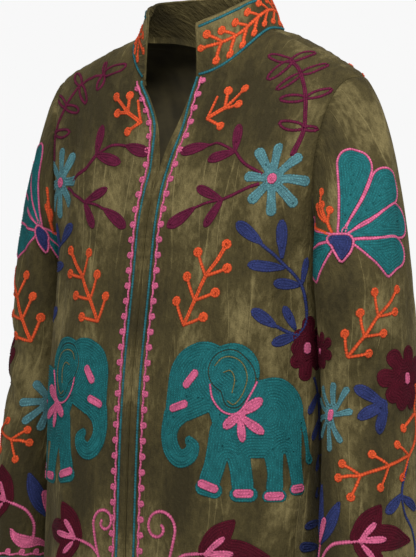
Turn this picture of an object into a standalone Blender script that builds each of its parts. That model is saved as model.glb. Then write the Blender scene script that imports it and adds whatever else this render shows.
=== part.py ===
"""Suzani jacket: a hip-length velvet jacket with a stand collar and set-in sleeves, filled out as it is worn.

Metres, +Z up. The wearer faces -Y, so the wearer's left is +X. The origin is between the two high
shoulder points, where the wearer's neck and shoulders hold the jacket up. Every piece of cloth is
a wall of even thickness. Its outer points come from horizontal sections below the armhole, from
the yoke's own curves above it, from rails that run down the sleeve, and from the neckline for the
collar. Soft folds from short tables move them in or out, and the inner points lie one wall inside.
"""

from collections import namedtuple

import bmesh
import bpy
import numpy as np

CLOTH = 0.002  # velvet with its backing
SEAM_GAP = 0.0004
FINER = 4  # the surface is worked out this much finer than the mesh, for true normals
DENSE = 160  # points along a section before they are spaced evenly

HEM_Z = -0.72
UNDERARM_Z = -0.25
CUFF_Z = -0.64
NECK_HALF_WIDTH = 0.090
NECK_FRONT_Z = -0.065  # where the neckline meets the front edges
SHOULDER_X = 0.204
SHOULDER_SLOPE = 0.58
SHOULDER_EASE = 0.03  # how softly the shoulder line turns up at the neck
SHOULDER_TURN = np.radians(5)  # the shoulders are turned this much against the hips
SHOULDER_LIFT = 0.013  # the right shoulder is this much higher than the left one
LIFT_X = (-0.09, -0.21)  # between the neck and the shoulder point
TURN_FROM_Z = -0.31
SECTION_POWER = 2.8  # 2 is an ellipse, and more is boxier
LOWER_ROWS = 19  # from the hem to the underarm
YOKE_ROWS = 12  # from the underarm to the shoulder seam
EDGE_ROWS = 6  # the first of the yoke's rows, which start on the front edge and not on the neckline
PANEL_COLUMNS = 11
CAP_ROWS = 9  # from the armhole to the first section of ARM
ARM_ROWS = 14
COLLAR_ROWS = 4
NECKLINE_ROUNDS = 8  # rounds that settle where the neckline lies on the yoke
SHARP_EDGE = np.radians(40)

Section = namedtuple("Section", "z half_width front back lean")
SECTIONS = (
    Section(-0.72, 0.188, 0.126, 0.130, -0.030),
    Section(-0.57, 0.179, 0.122, 0.120, -0.027),
    Section(-0.41, 0.180, 0.117, 0.102, -0.022),
    Section(-0.25, 0.182, 0.101, 0.107, -0.015),
    Section(-0.16, 0.182, 0.101, 0.107, -0.006),
    Section(-0.07, 0.182, 0.101, 0.107, 0.002),
    Section(0.04, 0.182, 0.101, 0.107, 0.004),
)

# The yoke's half width is where its highest section would close if no armhole cut it, and its spread
# is how late the sections widen to it on their way up
Face = namedtuple("Face", "toward depth power yoke_half_width yoke_spread armhole_dip neck_depth neck_power")
FRONT = {
    "left": Face(-1, "front", 2.0, 0.236, 1.5, 0.000, 0.067, 2.9),
    "right": Face(-1, "front", 2.0, 0.240, 1.5, 0.001, 0.073, 2.4),
}
BACK = Face(1, "back", 3.5, 0.212, 1.0, 0.002, 0.076, 2.0)

EdgePoint = namedtuple("EdgePoint", "z left right")
FRONT_EDGE = (  # how far each front edge lies from the middle, towards its own side
    EdgePoint(-0.72, 0.0018, 0.0018),
    EdgePoint(-0.31, 0.0014, 0.0014),
    EdgePoint(-0.205, 0.0014, 0.0014),
    EdgePoint(-0.180, 0.0034, -0.0010),
    EdgePoint(-0.165, 0.0058, -0.0034),
    EdgePoint(-0.140, 0.0105, 0.0022),
    EdgePoint(-0.112, 0.0192, 0.0125),
    EdgePoint(-0.083, 0.0250, 0.0320),
    EdgePoint(-0.065, 0.0268, 0.0465),
    EdgePoint(-0.045, 0.0285, 0.0530),
)

ArmSection = namedtuple("ArmSection", "z x y_left y_right half_x half_y")
ARM = (
    ArmSection(-0.30, 0.2360, -0.021, 0.014, 0.0480, 0.068),
    ArmSection(-0.41, 0.2380, -0.012, 0.002, 0.0480, 0.066),
    ArmSection(-0.51, 0.2430, -0.022, -0.012, 0.0470, 0.064),
    ArmSection(-0.64, 0.2480, -0.042, -0.028, 0.0470, 0.061),
)
# The way the sleeve leaves the armhole, at the underarm and at the shoulder point
LEAVE_OUT = (0.30, 0.75)
LEAVE_UP = (-0.95, -0.65)
LEAVE_ASIDE = 0.16  # forwards on the front half and backwards on the back half
CROWN_EASE = 0.45  # how much less the cap bulges at the shoulder point than at the underarm

CollarPoint = namedtuple("CollarPoint", "angle reach z")
COLLAR_TOP = (  # the collar's top edge, by the angle round the neck from the middle front towards the left
    CollarPoint(17, 0.0755, 0.001),
    CollarPoint(49, 0.072, 0.019),
    CollarPoint(75, 0.072, 0.034),
    CollarPoint(120, 0.072, 0.043),
    CollarPoint(180, 0.067, 0.046),
    CollarPoint(240, 0.068, 0.043),
    CollarPoint(303, 0.070, 0.028),
    CollarPoint(328, 0.076, 0.016),
)
# Folds are troughs and ridges along a line on a piece. The line runs from one end to the other, given
# across the piece (0 at the front edge, the middle back or a sleeve's underarm) and up it (0 at the
# hem or the cuff). Depth is outwards, so a trough has a depth below 0.
Fold = namedtuple("Fold", "across_from up_from across_to up_to width depth")
FOLDS = {
    "front_left": (
        Fold(0.80, 0.36, 0.72, 0.80, 0.016, -0.0045),
        Fold(0.92, 0.30, 0.90, 0.72, 0.014, 0.0030),
        Fold(0.56, 0.46, 0.66, 0.72, 0.018, 0.0030),
        Fold(0.44, 0.00, 0.46, 0.22, 0.020, 0.0060),
        Fold(0.62, 0.00, 0.60, 0.30, 0.018, -0.0060),
        Fold(0.79, 0.00, 0.80, 0.26, 0.018, 0.0060),
        Fold(0.20, 0.62, 0.42, 0.86, 0.014, -0.0030),
    ),
    "front_right": (
        Fold(0.76, 0.34, 0.70, 0.78, 0.016, -0.0040),
        Fold(0.90, 0.26, 0.88, 0.66, 0.014, 0.0030),
        Fold(0.38, 0.00, 0.40, 0.26, 0.018, 0.0050),
        Fold(0.60, 0.00, 0.58, 0.24, 0.020, -0.0060),
        Fold(0.80, 0.00, 0.80, 0.30, 0.018, 0.0050),
        Fold(0.22, 0.64, 0.40, 0.88, 0.014, -0.0030),
    ),
    "back": (
        Fold(0.34, 0.02, 0.40, 0.52, 0.020, 0.0055),
        Fold(0.54, 0.00, 0.52, 0.46, 0.018, -0.0055),
        Fold(0.74, 0.00, 0.72, 0.40, 0.018, 0.0050),
        Fold(0.62, 0.50, 0.84, 0.74, 0.018, -0.0040),
        Fold(0.30, 0.60, 0.72, 0.86, 0.020, 0.0030),
    ),
    "sleeve_left": (
        Fold(0.26, 0.62, 0.42, 0.96, 0.014, -0.0045),
        Fold(0.34, 0.58, 0.54, 0.92, 0.013, 0.0030),
        Fold(0.64, 0.60, 0.70, 0.94, 0.016, -0.0040),
        Fold(0.22, 0.38, 0.44, 0.50, 0.012, -0.0045),
        Fold(0.24, 0.30, 0.40, 0.42, 0.011, -0.0035),
        Fold(0.40, 0.32, 0.60, 0.40, 0.012, -0.0035),
        Fold(0.30, 0.10, 0.48, 0.24, 0.013, -0.0035),
        Fold(0.60, 0.08, 0.68, 0.34, 0.016, 0.0035),
    ),
    "sleeve_right": (
        Fold(0.24, 0.60, 0.40, 0.94, 0.014, -0.0040),
        Fold(0.62, 0.58, 0.68, 0.92, 0.016, -0.0035),
        Fold(0.22, 0.44, 0.46, 0.56, 0.013, -0.0045),
        Fold(0.24, 0.34, 0.42, 0.44, 0.012, -0.0040),
        Fold(0.42, 0.24, 0.56, 0.36, 0.013, -0.0035),
        Fold(0.28, 0.06, 0.40, 0.22, 0.013, -0.0030),
    ),
    "collar": (
        Fold(0.12, 0.00, 0.15, 1.00, 0.012, -0.0020),
        Fold(0.86, 0.10, 0.82, 1.00, 0.012, -0.0025),
    ),
}
Size = namedtuple("Size", "across up")
FLAT_SIZE = {
    "front": Size(0.25, 0.77),
    "back": Size(0.26, 0.76),
    "sleeve": Size(0.39, 0.60),
    "collar": Size(0.42, 0.056),
}
FOLD_EASE = 0.022  # folds die away this near a seam
FOLD_END = 0.15  # and over this share of their length before and after each end

COLLAR_CLOTH = 0.003  # two layers of velvet with a stiffener
BAND_WIDTH = 0.009
BAND_CLOTH = 0.001

MIRROR = np.array([-1.0, 1.0, 1.0])
VELVET_OLIVE = (0.085, 0.075, 0.028, 1.0)
VELVET_ROUGHNESS = 0.85


def smooth(z, table, column):
    """A table's column where its first column is z, on a curve with no corners through the rows."""
    rows = sorted(table)
    at = np.array([row[0] for row in rows])
    value = np.array([getattr(row, column) for row in rows])
    slope = np.gradient(value, at)
    z = np.clip(z, at[0], at[-1])
    low = np.clip(np.searchsorted(at, z, side="right") - 1, 0, len(at) - 2)
    span = at[low + 1] - at[low]
    share = (z - at[low]) / span
    rise = share * share * (3 - 2 * share)
    leave = share * (1 - share) ** 2 * span * slope[low]
    arrive = share * share * (share - 1) * span * slope[low + 1]
    return value[low] + (value[low + 1] - value[low]) * rise + leave + arrive


def evenly(points, count):
    """count points spaced evenly along a line of points."""
    steps = np.linalg.norm(np.diff(points, axis=0), axis=1)
    along = np.concatenate([[0.0], np.cumsum(steps)])
    at = np.linspace(0.0, along[-1], count)
    return np.stack([np.interp(at, along, points[:, k]) for k in range(3)], axis=1)


def shoulder_z(x):
    """The height of the shoulder line at x: level at the neck, then falling to the shoulder point."""
    out = x - NECK_HALF_WIDTH
    return -SHOULDER_SLOPE * (np.sqrt(out**2 + SHOULDER_EASE**2) + out - SHOULDER_EASE) / 2


def closing(share):
    """How far a section still stands out at this share of its half width."""
    return np.maximum(0.0, 1 - np.abs(share) ** SECTION_POWER) ** (1 / SECTION_POWER)


def profile(face, turn):
    """How far out and how far up a yoke stands at this turn, as shares of its depth and of its height."""
    out, up = np.cos(turn).clip(0), np.sin(turn).clip(0)
    size = (out**face.power + up**face.power) ** (1 / face.power)
    return out / size, up / size


def depth_at(face, x, turn):
    """How deep the yoke's section is at x, as its half width goes from the chest's to the yoke's own."""
    across = smooth(UNDERARM_Z, SECTIONS, "half_width")
    across = across + (face.yoke_half_width - across) * np.sin(turn).clip(0) ** face.yoke_spread
    return smooth(UNDERARM_Z, SECTIONS, face.depth) * closing(x / across)


def yoke(face, x, turn):
    """A point of the upper front or back: turn is 0 at the underarm and a quarter turn at the shoulder."""
    out, up = profile(face, turn)
    z = UNDERARM_Z + (shoulder_z(np.abs(x)) - UNDERARM_Z) * up
    y = smooth(z, SECTIONS, "lean") + face.toward * (depth_at(face, x, turn) * out + SEAM_GAP / 2)
    return np.stack([x, y, z], axis=-1)


def swing_at(face, x):
    """Where on the neckline x is."""
    return np.arcsin((x / NECK_HALF_WIDTH) ** (face.neck_power / 2))


def neckline(face, swing):
    """(x, turn) of the neckline: swing is 0 at the middle and a quarter turn at the shoulder."""
    x = NECK_HALF_WIDTH * np.sin(swing) ** (2 / face.neck_power)
    depth = face.neck_depth * np.cos(swing).clip(0) ** (2 / face.neck_power)
    turn = np.full(np.shape(x), np.pi / 4)
    for _ in range(NECKLINE_ROUNDS):
        share = (depth / depth_at(face, x, turn)) ** face.power
        turn = np.arctan2((1 - share) ** (1 / face.power), share ** (1 / face.power))
    return x, turn


def armhole(face, share):
    """(x, turn) of the armhole, from the underarm at 0 to the shoulder point at 1."""
    start = smooth(UNDERARM_Z, SECTIONS, "half_width")
    x = start + (SHOULDER_X - start) * share**2 - face.armhole_dip * np.sin(np.pi * share)
    return x, share * np.pi / 2


def lower_row(face, z, edge):
    """A horizontal section from the inner edge to the side seam."""
    across, depth = smooth(z, SECTIONS, "half_width"), smooth(z, SECTIONS, face.depth)
    start = np.arcsin((edge(z) / across) ** (SECTION_POWER / 2))
    angle = np.linspace(start, np.pi / 2, DENSE)
    x = across * np.sin(angle) ** (2 / SECTION_POWER)
    out = depth * np.cos(angle).clip(0) ** (2 / SECTION_POWER) + SEAM_GAP / 2
    y = smooth(z, SECTIONS, "lean") + face.toward * out
    return np.stack([x, y, np.full(DENSE, z)], axis=1)


def yoke_row(face, share, edge):
    """A row of the yoke, from the front edge or the neckline to the armhole."""
    x_out, turn_out = armhole(face, share)
    first = swing_at(face, edge(NECK_FRONT_Z))
    on_edge = EDGE_ROWS / YOKE_ROWS
    if share < on_edge:
        turn_in = neckline(face, first)[1] * share / on_edge
        x_in = edge(UNDERARM_Z * (1 - profile(face, turn_in)[1]))
    else:
        x_in, turn_in = neckline(face, first + (np.pi / 2 - first) * (share - on_edge) / (1 - on_edge))
    along = np.sin(np.linspace(0.0, np.pi / 2, DENSE))
    return yoke(face, x_in + (x_out - x_in) * along, turn_in + (turn_out - turn_in) * along)


def panel_grid(face, edge):
    """Rows of points from the hem up to the shoulder seam, each from the inner edge to the side."""
    rows = [lower_row(face, z, edge) for z in np.linspace(HEM_Z, UNDERARM_Z, LOWER_ROWS * FINER + 1)]
    rows += [yoke_row(face, share, edge) for share in np.linspace(0.0, 1.0, YOKE_ROWS * FINER + 1)[1:]]
    return np.array([evenly(row, PANEL_COLUMNS * FINER + 1) for row in rows])


def front_edge(side):
    """The front edge's distance from the middle at a height, for one side."""
    return lambda z: float(smooth(z, FRONT_EDGE, side))


def armhole_loop(side):
    """The armhole from the underarm up the front to the shoulder point and down the back."""
    share = np.linspace(0.0, 1.0, YOKE_ROWS * FINER + 1)
    front, back = (yoke(face, *armhole(face, share)) for face in (FRONT[side], BACK))
    middle = (front[[0, -1]] + back[[0, -1]]) / 2
    return np.concatenate([middle[:1], front[1:-1], middle[1:], back[-2:0:-1]])


def sleeve_grid(side):
    """Rings of points from the armhole to the cuff: rails leave the armhole and turn down the arm."""
    start = armhole_loop(side)
    angle = np.linspace(0.0, 2 * np.pi, len(start), endpoint=False)
    height = (1 - np.cos(angle)) / 2  # 0 at the underarm and 1 at the shoulder point
    out, up = (np.interp(height, (0, 1), ends) for ends in (LEAVE_OUT, LEAVE_UP))
    leave = np.stack([out, -LEAVE_ASIDE * np.sin(angle), up], axis=1)
    leave /= np.linalg.norm(leave, axis=1)[:, None]
    start = start + 2 * SEAM_GAP * leave
    z = np.linspace(ARM[0].z, CUFF_Z, ARM_ROWS * FINER + 1)[:, None]
    x = smooth(z, ARM, "x") - smooth(z, ARM, "half_x") * np.cos(angle)
    y = smooth(z, ARM, "y_" + side) - smooth(z, ARM, "half_y") * np.sin(angle)
    tube = np.stack([x, y, z + 0 * x], axis=-1)
    reach = np.linalg.norm(tube[0] - start, axis=1)[:, None] * (1 - CROWN_EASE * height)[:, None]
    arrive = (tube[1] - tube[0]) / np.linalg.norm(tube[1] - tube[0], axis=1)[:, None]
    share = np.linspace(0.0, 1.0, CAP_ROWS * FINER + 1)[:-1, None, None]
    cap = (
        start * (1 + 2 * share) * (1 - share) ** 2
        + reach * leave * share * (1 - share) ** 2
        + tube[0] * share**2 * (3 - 2 * share)
        + reach * arrive * share**2 * (share - 1)
    )
    return np.concatenate([cap, tube])


def collar_grid():
    """Rows from the neckline up to the collar's top edge, each from the left end round to the right end."""
    base = []
    for face, side in ((FRONT["left"], "left"), (BACK, None), (BACK, None), (FRONT["right"], "right")):
        first = swing_at(face, front_edge(side)(NECK_FRONT_Z)) if side else 0.0
        swing = np.linspace(first, np.pi / 2, (YOKE_ROWS - EDGE_ROWS) * FINER + 1)
        base.append(yoke(face, *neckline(face, swing)))
    left, left_back, right_back, right = base
    base = np.concatenate([left, left_back[-2::-1], (right_back * MIRROR)[1:], (right * MIRROR)[-2::-1]])
    angle = np.arctan2(base[:, 0], -base[:, 1]) % (2 * np.pi)
    reach, up = (smooth(np.degrees(angle), COLLAR_TOP, column) for column in ("reach", "z"))
    top = np.stack([reach * np.sin(angle), -reach * np.cos(angle), up], axis=1)
    share = np.linspace(0.0, 1.0, COLLAR_ROWS * FINER + 1)[:, None, None]
    rise = (top - base) / np.linalg.norm(top - base, axis=1)[:, None]
    seat = base + 2 * SEAM_GAP * rise
    return seat + (top - seat) * share


def eased(share):
    """A share from 0 to 1 that leaves 0 and reaches 1 softly."""
    share = np.clip(share, 0, 1)
    return share * share * (3 - 2 * share)


def posed(points):
    """Points with the shoulders turned against the hips, and the right shoulder lifted."""
    x, y, z = points[..., 0], points[..., 1], points[..., 2]
    high = eased(1 - z / TURN_FROM_Z)
    angle = SHOULDER_TURN * high
    lift = SHOULDER_LIFT * high * eased((x - LIFT_X[0]) / (LIFT_X[1] - LIFT_X[0]))
    turned = (x * np.cos(angle) - y * np.sin(angle), x * np.sin(angle) + y * np.cos(angle))
    return np.stack([*turned, z + lift], axis=-1)


def normals_of(grid, closed=False):
    """The outward normal at each point of a grid of rows."""
    if closed:
        padded = np.concatenate([grid[:, -1:], grid, grid[:, :1]], axis=1)
        across = np.gradient(padded, axis=1)[:, 1:-1]
    else:
        across = np.gradient(grid, axis=1)
    normal = np.cross(across, np.gradient(grid, axis=0))
    return normal / np.linalg.norm(normal, axis=2)[..., None]


def folded(name, grid, normal):
    """Points moved along their normals by the piece's folds, which die away towards its seams."""
    size = FLAT_SIZE[name.split("_")[0]]
    rows, columns = grid.shape[:2]
    across = np.linspace(0.0, 1.0, columns, endpoint=not name.startswith("sleeve"))[None, :]
    up = np.linspace(0.0, 1.0, rows)[:, None]
    if name.startswith("sleeve"):
        up = 1 - up
    move = np.zeros((rows, columns))
    for fold in FOLDS[name]:
        start = np.array([fold.across_from * size.across, fold.up_from * size.up])
        run = np.array([fold.across_to * size.across, fold.up_to * size.up]) - start
        a, u = across * size.across - start[0], up * size.up - start[1]
        along = (a * run[0] + u * run[1]) / (run @ run)
        aside = (a * run[1] - u * run[0]) / np.sqrt(run @ run)
        before, after = (along + FOLD_END) / (2 * FOLD_END), (1 + FOLD_END - along) / (2 * FOLD_END)
        if fold.up_from == 0:  # it runs out at the hem
            before = after
        move += fold.depth * np.exp(-((aside / fold.width) ** 2)) * eased(np.minimum(before, after))
    ease = np.clip((1 - up) * size.up / FOLD_EASE, 0, 1) * np.ones((1, columns))
    if name.startswith("collar"):
        ease = np.clip(up * size.up / FOLD_EASE, 0, 1) * np.ones((1, columns))
    elif not name.startswith("sleeve"):
        ease = ease * np.clip(np.minimum(across, 1 - across) * size.across / FOLD_EASE, 0, 1)
    return grid + (move * eased(ease))[..., None] * normal


def front_band(grid, normal):
    """The strip of cloth along a front edge, laid on the panel: its outer points and their normals."""
    last = (LOWER_ROWS + EDGE_ROWS) * FINER + 1
    places, ways = [], []
    for points, ways_out in zip(grid[:last], normal[:last]):
        along = np.concatenate([[0.0], np.cumsum(np.linalg.norm(np.diff(points, axis=0), axis=1))])
        at = np.linspace(0.0, BAND_WIDTH, 2 * FINER + 1)
        places.append(np.stack([np.interp(at, along, points[:, k]) for k in range(3)], axis=1))
        ways.append(np.stack([np.interp(at, along, ways_out[:, k]) for k in range(3)], axis=1))
    places, ways = np.array(places), np.array(ways)
    ways /= np.linalg.norm(ways, axis=2)[..., None]
    return places + (SEAM_GAP + BAND_CLOTH) * ways, ways


def cloth_wall(name, patches, thickness):
    """One closed wall of cloth from patches of (points, normals, closed), joined where their points meet."""
    index, outer, inner, faces = {}, [], [], []
    for points, normals, closed in patches:
        places = np.empty(points.shape[:2], int)
        for row, column in np.ndindex(places.shape):
            key = tuple(np.round(points[row, column], 6))
            if key not in index:
                index[key] = len(outer)
                outer.append(points[row, column])
                inner.append(points[row, column] - thickness * normals[row, column])
            places[row, column] = index[key]
        count = places.shape[1]
        for row in range(places.shape[0] - 1):
            for column in range(count if closed else count - 1):
                after = (column + 1) % count
                below, above = places[row], places[row + 1]
                faces.append([below[column], below[after], above[after], above[column]])
    mesh = bmesh.new()
    skins = [[mesh.verts.new(point) for point in skin] for skin in (outer, inner)]
    for face in faces:
        mesh.faces.new([skins[0][i] for i in face])
        mesh.faces.new([skins[1][i] for i in reversed(face)])
    sides = {}
    for face in faces:
        for edge in zip(face, face[1:] + face[:1]):
            sides.setdefault(frozenset(edge), []).append(edge)
    for (edge,) in (found for found in sides.values() if len(found) == 1):
        a, b = edge
        mesh.faces.new([skins[0][b], skins[0][a], skins[1][a], skins[1][b]])
    bmesh.ops.recalc_face_normals(mesh, faces=mesh.faces)
    data = bpy.data.meshes.new(name)
    mesh.to_mesh(data)
    mesh.free()
    data.shade_smooth()
    data.set_sharp_from_angle(angle=SHARP_EDGE)
    data.materials.append(velvet())
    piece = bpy.data.objects.new(name, data)
    bpy.context.scene.collection.objects.link(piece)
    return piece


def velvet():
    """The dull olive pile cloth that every piece is cut from."""
    found = bpy.data.materials.get("velvet")
    if found:
        return found
    made = bpy.data.materials.new("velvet")
    made.use_nodes = True
    shader = made.node_tree.nodes["Principled BSDF"]
    shader.inputs["Base Color"].default_value = VELVET_OLIVE
    shader.inputs["Roughness"].default_value = VELVET_ROUGHNESS
    shader.inputs["Metallic"].default_value = 0.0
    return made


def shaped(name, grid, mirror=False, closed=False, flip=False):
    """A piece's fine grid posed and folded, with its normals."""
    grid = posed(grid * MIRROR if mirror else grid)
    way = -1 if flip != mirror else 1
    grid = folded(name, grid, way * normals_of(grid, closed))
    return grid, way * normals_of(grid, closed)


def coarse(grid, normal, closed=False):
    """Every FINER-th point of a fine grid, ready for cloth_wall."""
    return grid[::FINER, ::FINER], normal[::FINER, ::FINER], closed


def main():
    for thing in list(bpy.data.objects):
        bpy.data.objects.remove(thing)
    for side in ("left", "right"):
        mirror = side == "right"
        front = shaped("front_" + side, panel_grid(FRONT[side], front_edge(side)), mirror)
        cloth_wall("front_" + side, [coarse(*front)], CLOTH)
        cloth_wall("front_band_" + side, [coarse(*front_band(*front))], BAND_CLOTH)
        sleeve = shaped("sleeve_" + side, sleeve_grid(side), mirror, closed=True, flip=True)
        cloth_wall("sleeve_" + side, [coarse(*sleeve, closed=True)], CLOTH)
    half = panel_grid(BACK, lambda z: 0.0)
    halves = [coarse(*shaped("back", half, mirror, flip=True)) for mirror in (False, True)]
    cloth_wall("back", halves, CLOTH)
    cloth_wall("collar", [coarse(*shaped("collar", collar_grid()))], COLLAR_CLOTH)


main()
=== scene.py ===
"""Suzani jacket: crushed velvet panels with chain-stitch embroidery, cords and rolled edges.

Each panel's surface follows the same sections, rails and folds as the solids, on a finer grid with
more creases. The embroidery is drawn flat, in millimetres across and up the panel, and its rows of
chain stitch are then laid on the panel's surface.
"""

import functools
import math
from collections import namedtuple

import bpy
import numpy as np
from bpy.props import FloatProperty, FloatVectorProperty, PointerProperty
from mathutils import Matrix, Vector, noise


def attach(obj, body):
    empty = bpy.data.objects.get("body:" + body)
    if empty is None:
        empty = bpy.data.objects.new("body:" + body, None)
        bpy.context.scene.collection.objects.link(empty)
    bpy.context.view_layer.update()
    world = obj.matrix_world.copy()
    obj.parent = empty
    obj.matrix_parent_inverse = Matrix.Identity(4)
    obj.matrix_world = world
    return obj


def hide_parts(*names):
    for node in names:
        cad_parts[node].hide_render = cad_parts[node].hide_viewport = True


bl_info = {
    "name": "Suzani Jacket",
    "version": (1, 0, 0),
    "blender": (4, 5, 0),
    "location": "View3D > Sidebar > Jacket",
    "description": "Dresses the jacket's panels in crushed velvet and chain-stitch embroidery",
    "category": "Mesh",
}

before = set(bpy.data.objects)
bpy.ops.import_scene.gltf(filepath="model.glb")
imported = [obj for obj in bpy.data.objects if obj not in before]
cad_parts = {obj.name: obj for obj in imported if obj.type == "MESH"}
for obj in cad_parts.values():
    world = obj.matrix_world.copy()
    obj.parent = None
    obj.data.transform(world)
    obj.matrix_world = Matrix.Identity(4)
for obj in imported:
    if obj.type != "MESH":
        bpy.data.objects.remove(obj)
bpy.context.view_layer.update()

# The form, with the same sizes in metres and the same tables as the solids

CLOTH = 0.002
SEAM_GAP = 0.0004
FINER = 5  # steps of these grids to each step of the solids'
DENSE = 160  # points on a row before they are spaced evenly
HEM_Z = -0.72
UNDERARM_Z = -0.25
CUFF_Z = -0.64
NECK_HALF_WIDTH = 0.090
NECK_FRONT_Z = -0.065
SHOULDER_X = 0.204
SHOULDER_SLOPE = 0.58
SHOULDER_EASE = 0.03  # over which the shoulder line bends down from level
SHOULDER_TURN = np.radians(5)  # of the shoulders against the hips
SHOULDER_LIFT = 0.013  # of the right shoulder, growing from one x to another
LIFT_X = (-0.09, -0.21)
TURN_FROM_Z = -0.31  # above which both begin
SECTION_POWER = 2.8  # how square a section across the body is: 2 is an ellipse
LOWER_ROWS = 19  # from the hem to the underarms
YOKE_ROWS = 12  # from there to the shoulder seam
EDGE_ROWS = 6  # of the yoke's, up to where the front edge meets the neckline
PANEL_COLUMNS = 11
CAP_ROWS = 9  # of a sleeve, from the armhole to the arm's first section
ARM_ROWS = 14
COLLAR_ROWS = 4
NECKLINE_ROUNDS = 8  # of guessing where the neckline lies on a yoke
NECK_ROW = (LOWER_ROWS + EDGE_ROWS) * FINER

Section = namedtuple("Section", "z half_width front back lean")
SECTIONS = (
    Section(-0.72, 0.188, 0.126, 0.130, -0.030),
    Section(-0.57, 0.179, 0.122, 0.120, -0.027),
    Section(-0.41, 0.180, 0.117, 0.102, -0.022),
    Section(-0.25, 0.182, 0.101, 0.107, -0.015),
    Section(-0.16, 0.182, 0.101, 0.107, -0.006),
    Section(-0.07, 0.182, 0.101, 0.107, 0.002),
    Section(0.04, 0.182, 0.101, 0.107, 0.004),
)
Face = namedtuple("Face", "toward depth power yoke_half_width yoke_spread armhole_dip neck_depth neck_power")
# Toward the front is -1. Depth and power shape a section, and the rest the shoulder and neck.
FRONT = {
    "left": Face(-1, "front", 2.0, 0.236, 1.5, 0.000, 0.067, 2.9),
    "right": Face(-1, "front", 2.0, 0.240, 1.5, 0.001, 0.073, 2.4),
}
BACK = Face(1, "back", 3.5, 0.212, 1.0, 0.002, 0.076, 2.0)

EdgePoint = namedtuple("EdgePoint", "z left right")
FRONT_EDGE = (
    EdgePoint(-0.72, 0.0018, 0.0018),
    EdgePoint(-0.31, 0.0014, 0.0014),
    EdgePoint(-0.205, 0.0014, 0.0014),
    EdgePoint(-0.180, 0.0034, -0.0010),
    EdgePoint(-0.165, 0.0058, -0.0034),
    EdgePoint(-0.140, 0.0105, 0.0022),
    EdgePoint(-0.112, 0.0192, 0.0125),
    EdgePoint(-0.083, 0.0250, 0.0320),
    EdgePoint(-0.065, 0.0268, 0.0465),
    EdgePoint(-0.045, 0.0285, 0.0530),
)

ArmSection = namedtuple("ArmSection", "z x y_left y_right half_x half_y")
ARM = (
    ArmSection(-0.30, 0.2360, -0.021, 0.014, 0.0480, 0.068),
    ArmSection(-0.41, 0.2380, -0.012, 0.002, 0.0480, 0.066),
    ArmSection(-0.51, 0.2430, -0.022, -0.012, 0.0470, 0.064),
    ArmSection(-0.64, 0.2480, -0.042, -0.028, 0.0470, 0.061),
)
LEAVE_OUT = (0.30, 0.75)  # which way a sleeve leaves the armhole, under the arm and at its top
LEAVE_UP = (-0.95, -0.65)
LEAVE_ASIDE = 0.16
CROWN_EASE = 0.45  # how much sooner its top bends down
CollarPoint = namedtuple("CollarPoint", "angle reach z")
COLLAR_TOP = (
    CollarPoint(17, 0.0755, 0.001),
    CollarPoint(49, 0.072, 0.019),
    CollarPoint(75, 0.072, 0.034),
    CollarPoint(120, 0.072, 0.043),
    CollarPoint(180, 0.067, 0.046),
    CollarPoint(240, 0.068, 0.043),
    CollarPoint(303, 0.070, 0.028),
    CollarPoint(328, 0.076, 0.016),
)

# Folds and creases are troughs and ridges along a line on a piece, in percent of its width and height.
# Across runs from 0 at the front edge, the middle back or a sleeve's underarm, and up from 0 at the
# hem or the cuff. The width and the depth are in millimetres.
Fold = namedtuple("Fold", "across_from up_from across_to up_to width depth")


def fold_table(**pieces):
    """Each piece's folds, with shares and metres in place of percent and millimetres."""
    return {
        name: [Fold(*(value / 100 for value in row[:4]), row[4] / 1000, row[5] / 1000) for row in rows]
        for name, rows in pieces.items()
    }


FOLDS = fold_table(
    front_left=(
        (80, 36, 72, 80, 16, -4.5), (92, 30, 90, 72, 14, 3), (56, 46, 66, 72, 18, 3),
        (44, 0, 46, 22, 20, 6), (62, 0, 60, 30, 18, -6), (79, 0, 80, 26, 18, 6), (20, 62, 42, 86, 14, -3),
    ),
    front_right=(
        (76, 34, 70, 78, 16, -4), (90, 26, 88, 66, 14, 3), (38, 0, 40, 26, 18, 5), (60, 0, 58, 24, 20, -6),
        (80, 0, 80, 30, 18, 5), (22, 64, 40, 88, 14, -3),
    ),
    back=(
        (34, 2, 40, 52, 20, 5.5), (54, 0, 52, 46, 18, -5.5), (74, 0, 72, 40, 18, 5),
        (62, 50, 84, 74, 18, -4), (30, 60, 72, 86, 20, 3),
    ),
    sleeve_left=(
        (26, 62, 42, 96, 14, -4.5), (34, 58, 54, 92, 13, 3), (64, 60, 70, 94, 16, -4),
        (22, 38, 44, 50, 12, -4.5), (24, 30, 40, 42, 11, -3.5), (40, 32, 60, 40, 12, -3.5),
        (30, 10, 48, 24, 13, -3.5), (60, 8, 68, 34, 16, 3.5),
    ),
    sleeve_right=(
        (24, 60, 40, 94, 14, -4), (62, 58, 68, 92, 16, -3.5), (22, 44, 46, 56, 13, -4.5),
        (24, 34, 42, 44, 12, -4), (42, 24, 56, 36, 13, -3.5), (28, 6, 40, 22, 13, -3),
    ),
    collar=(
        (12, 0, 15, 100, 12, -2), (86, 10, 82, 100, 12, -2.5),
    ),
)
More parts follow.
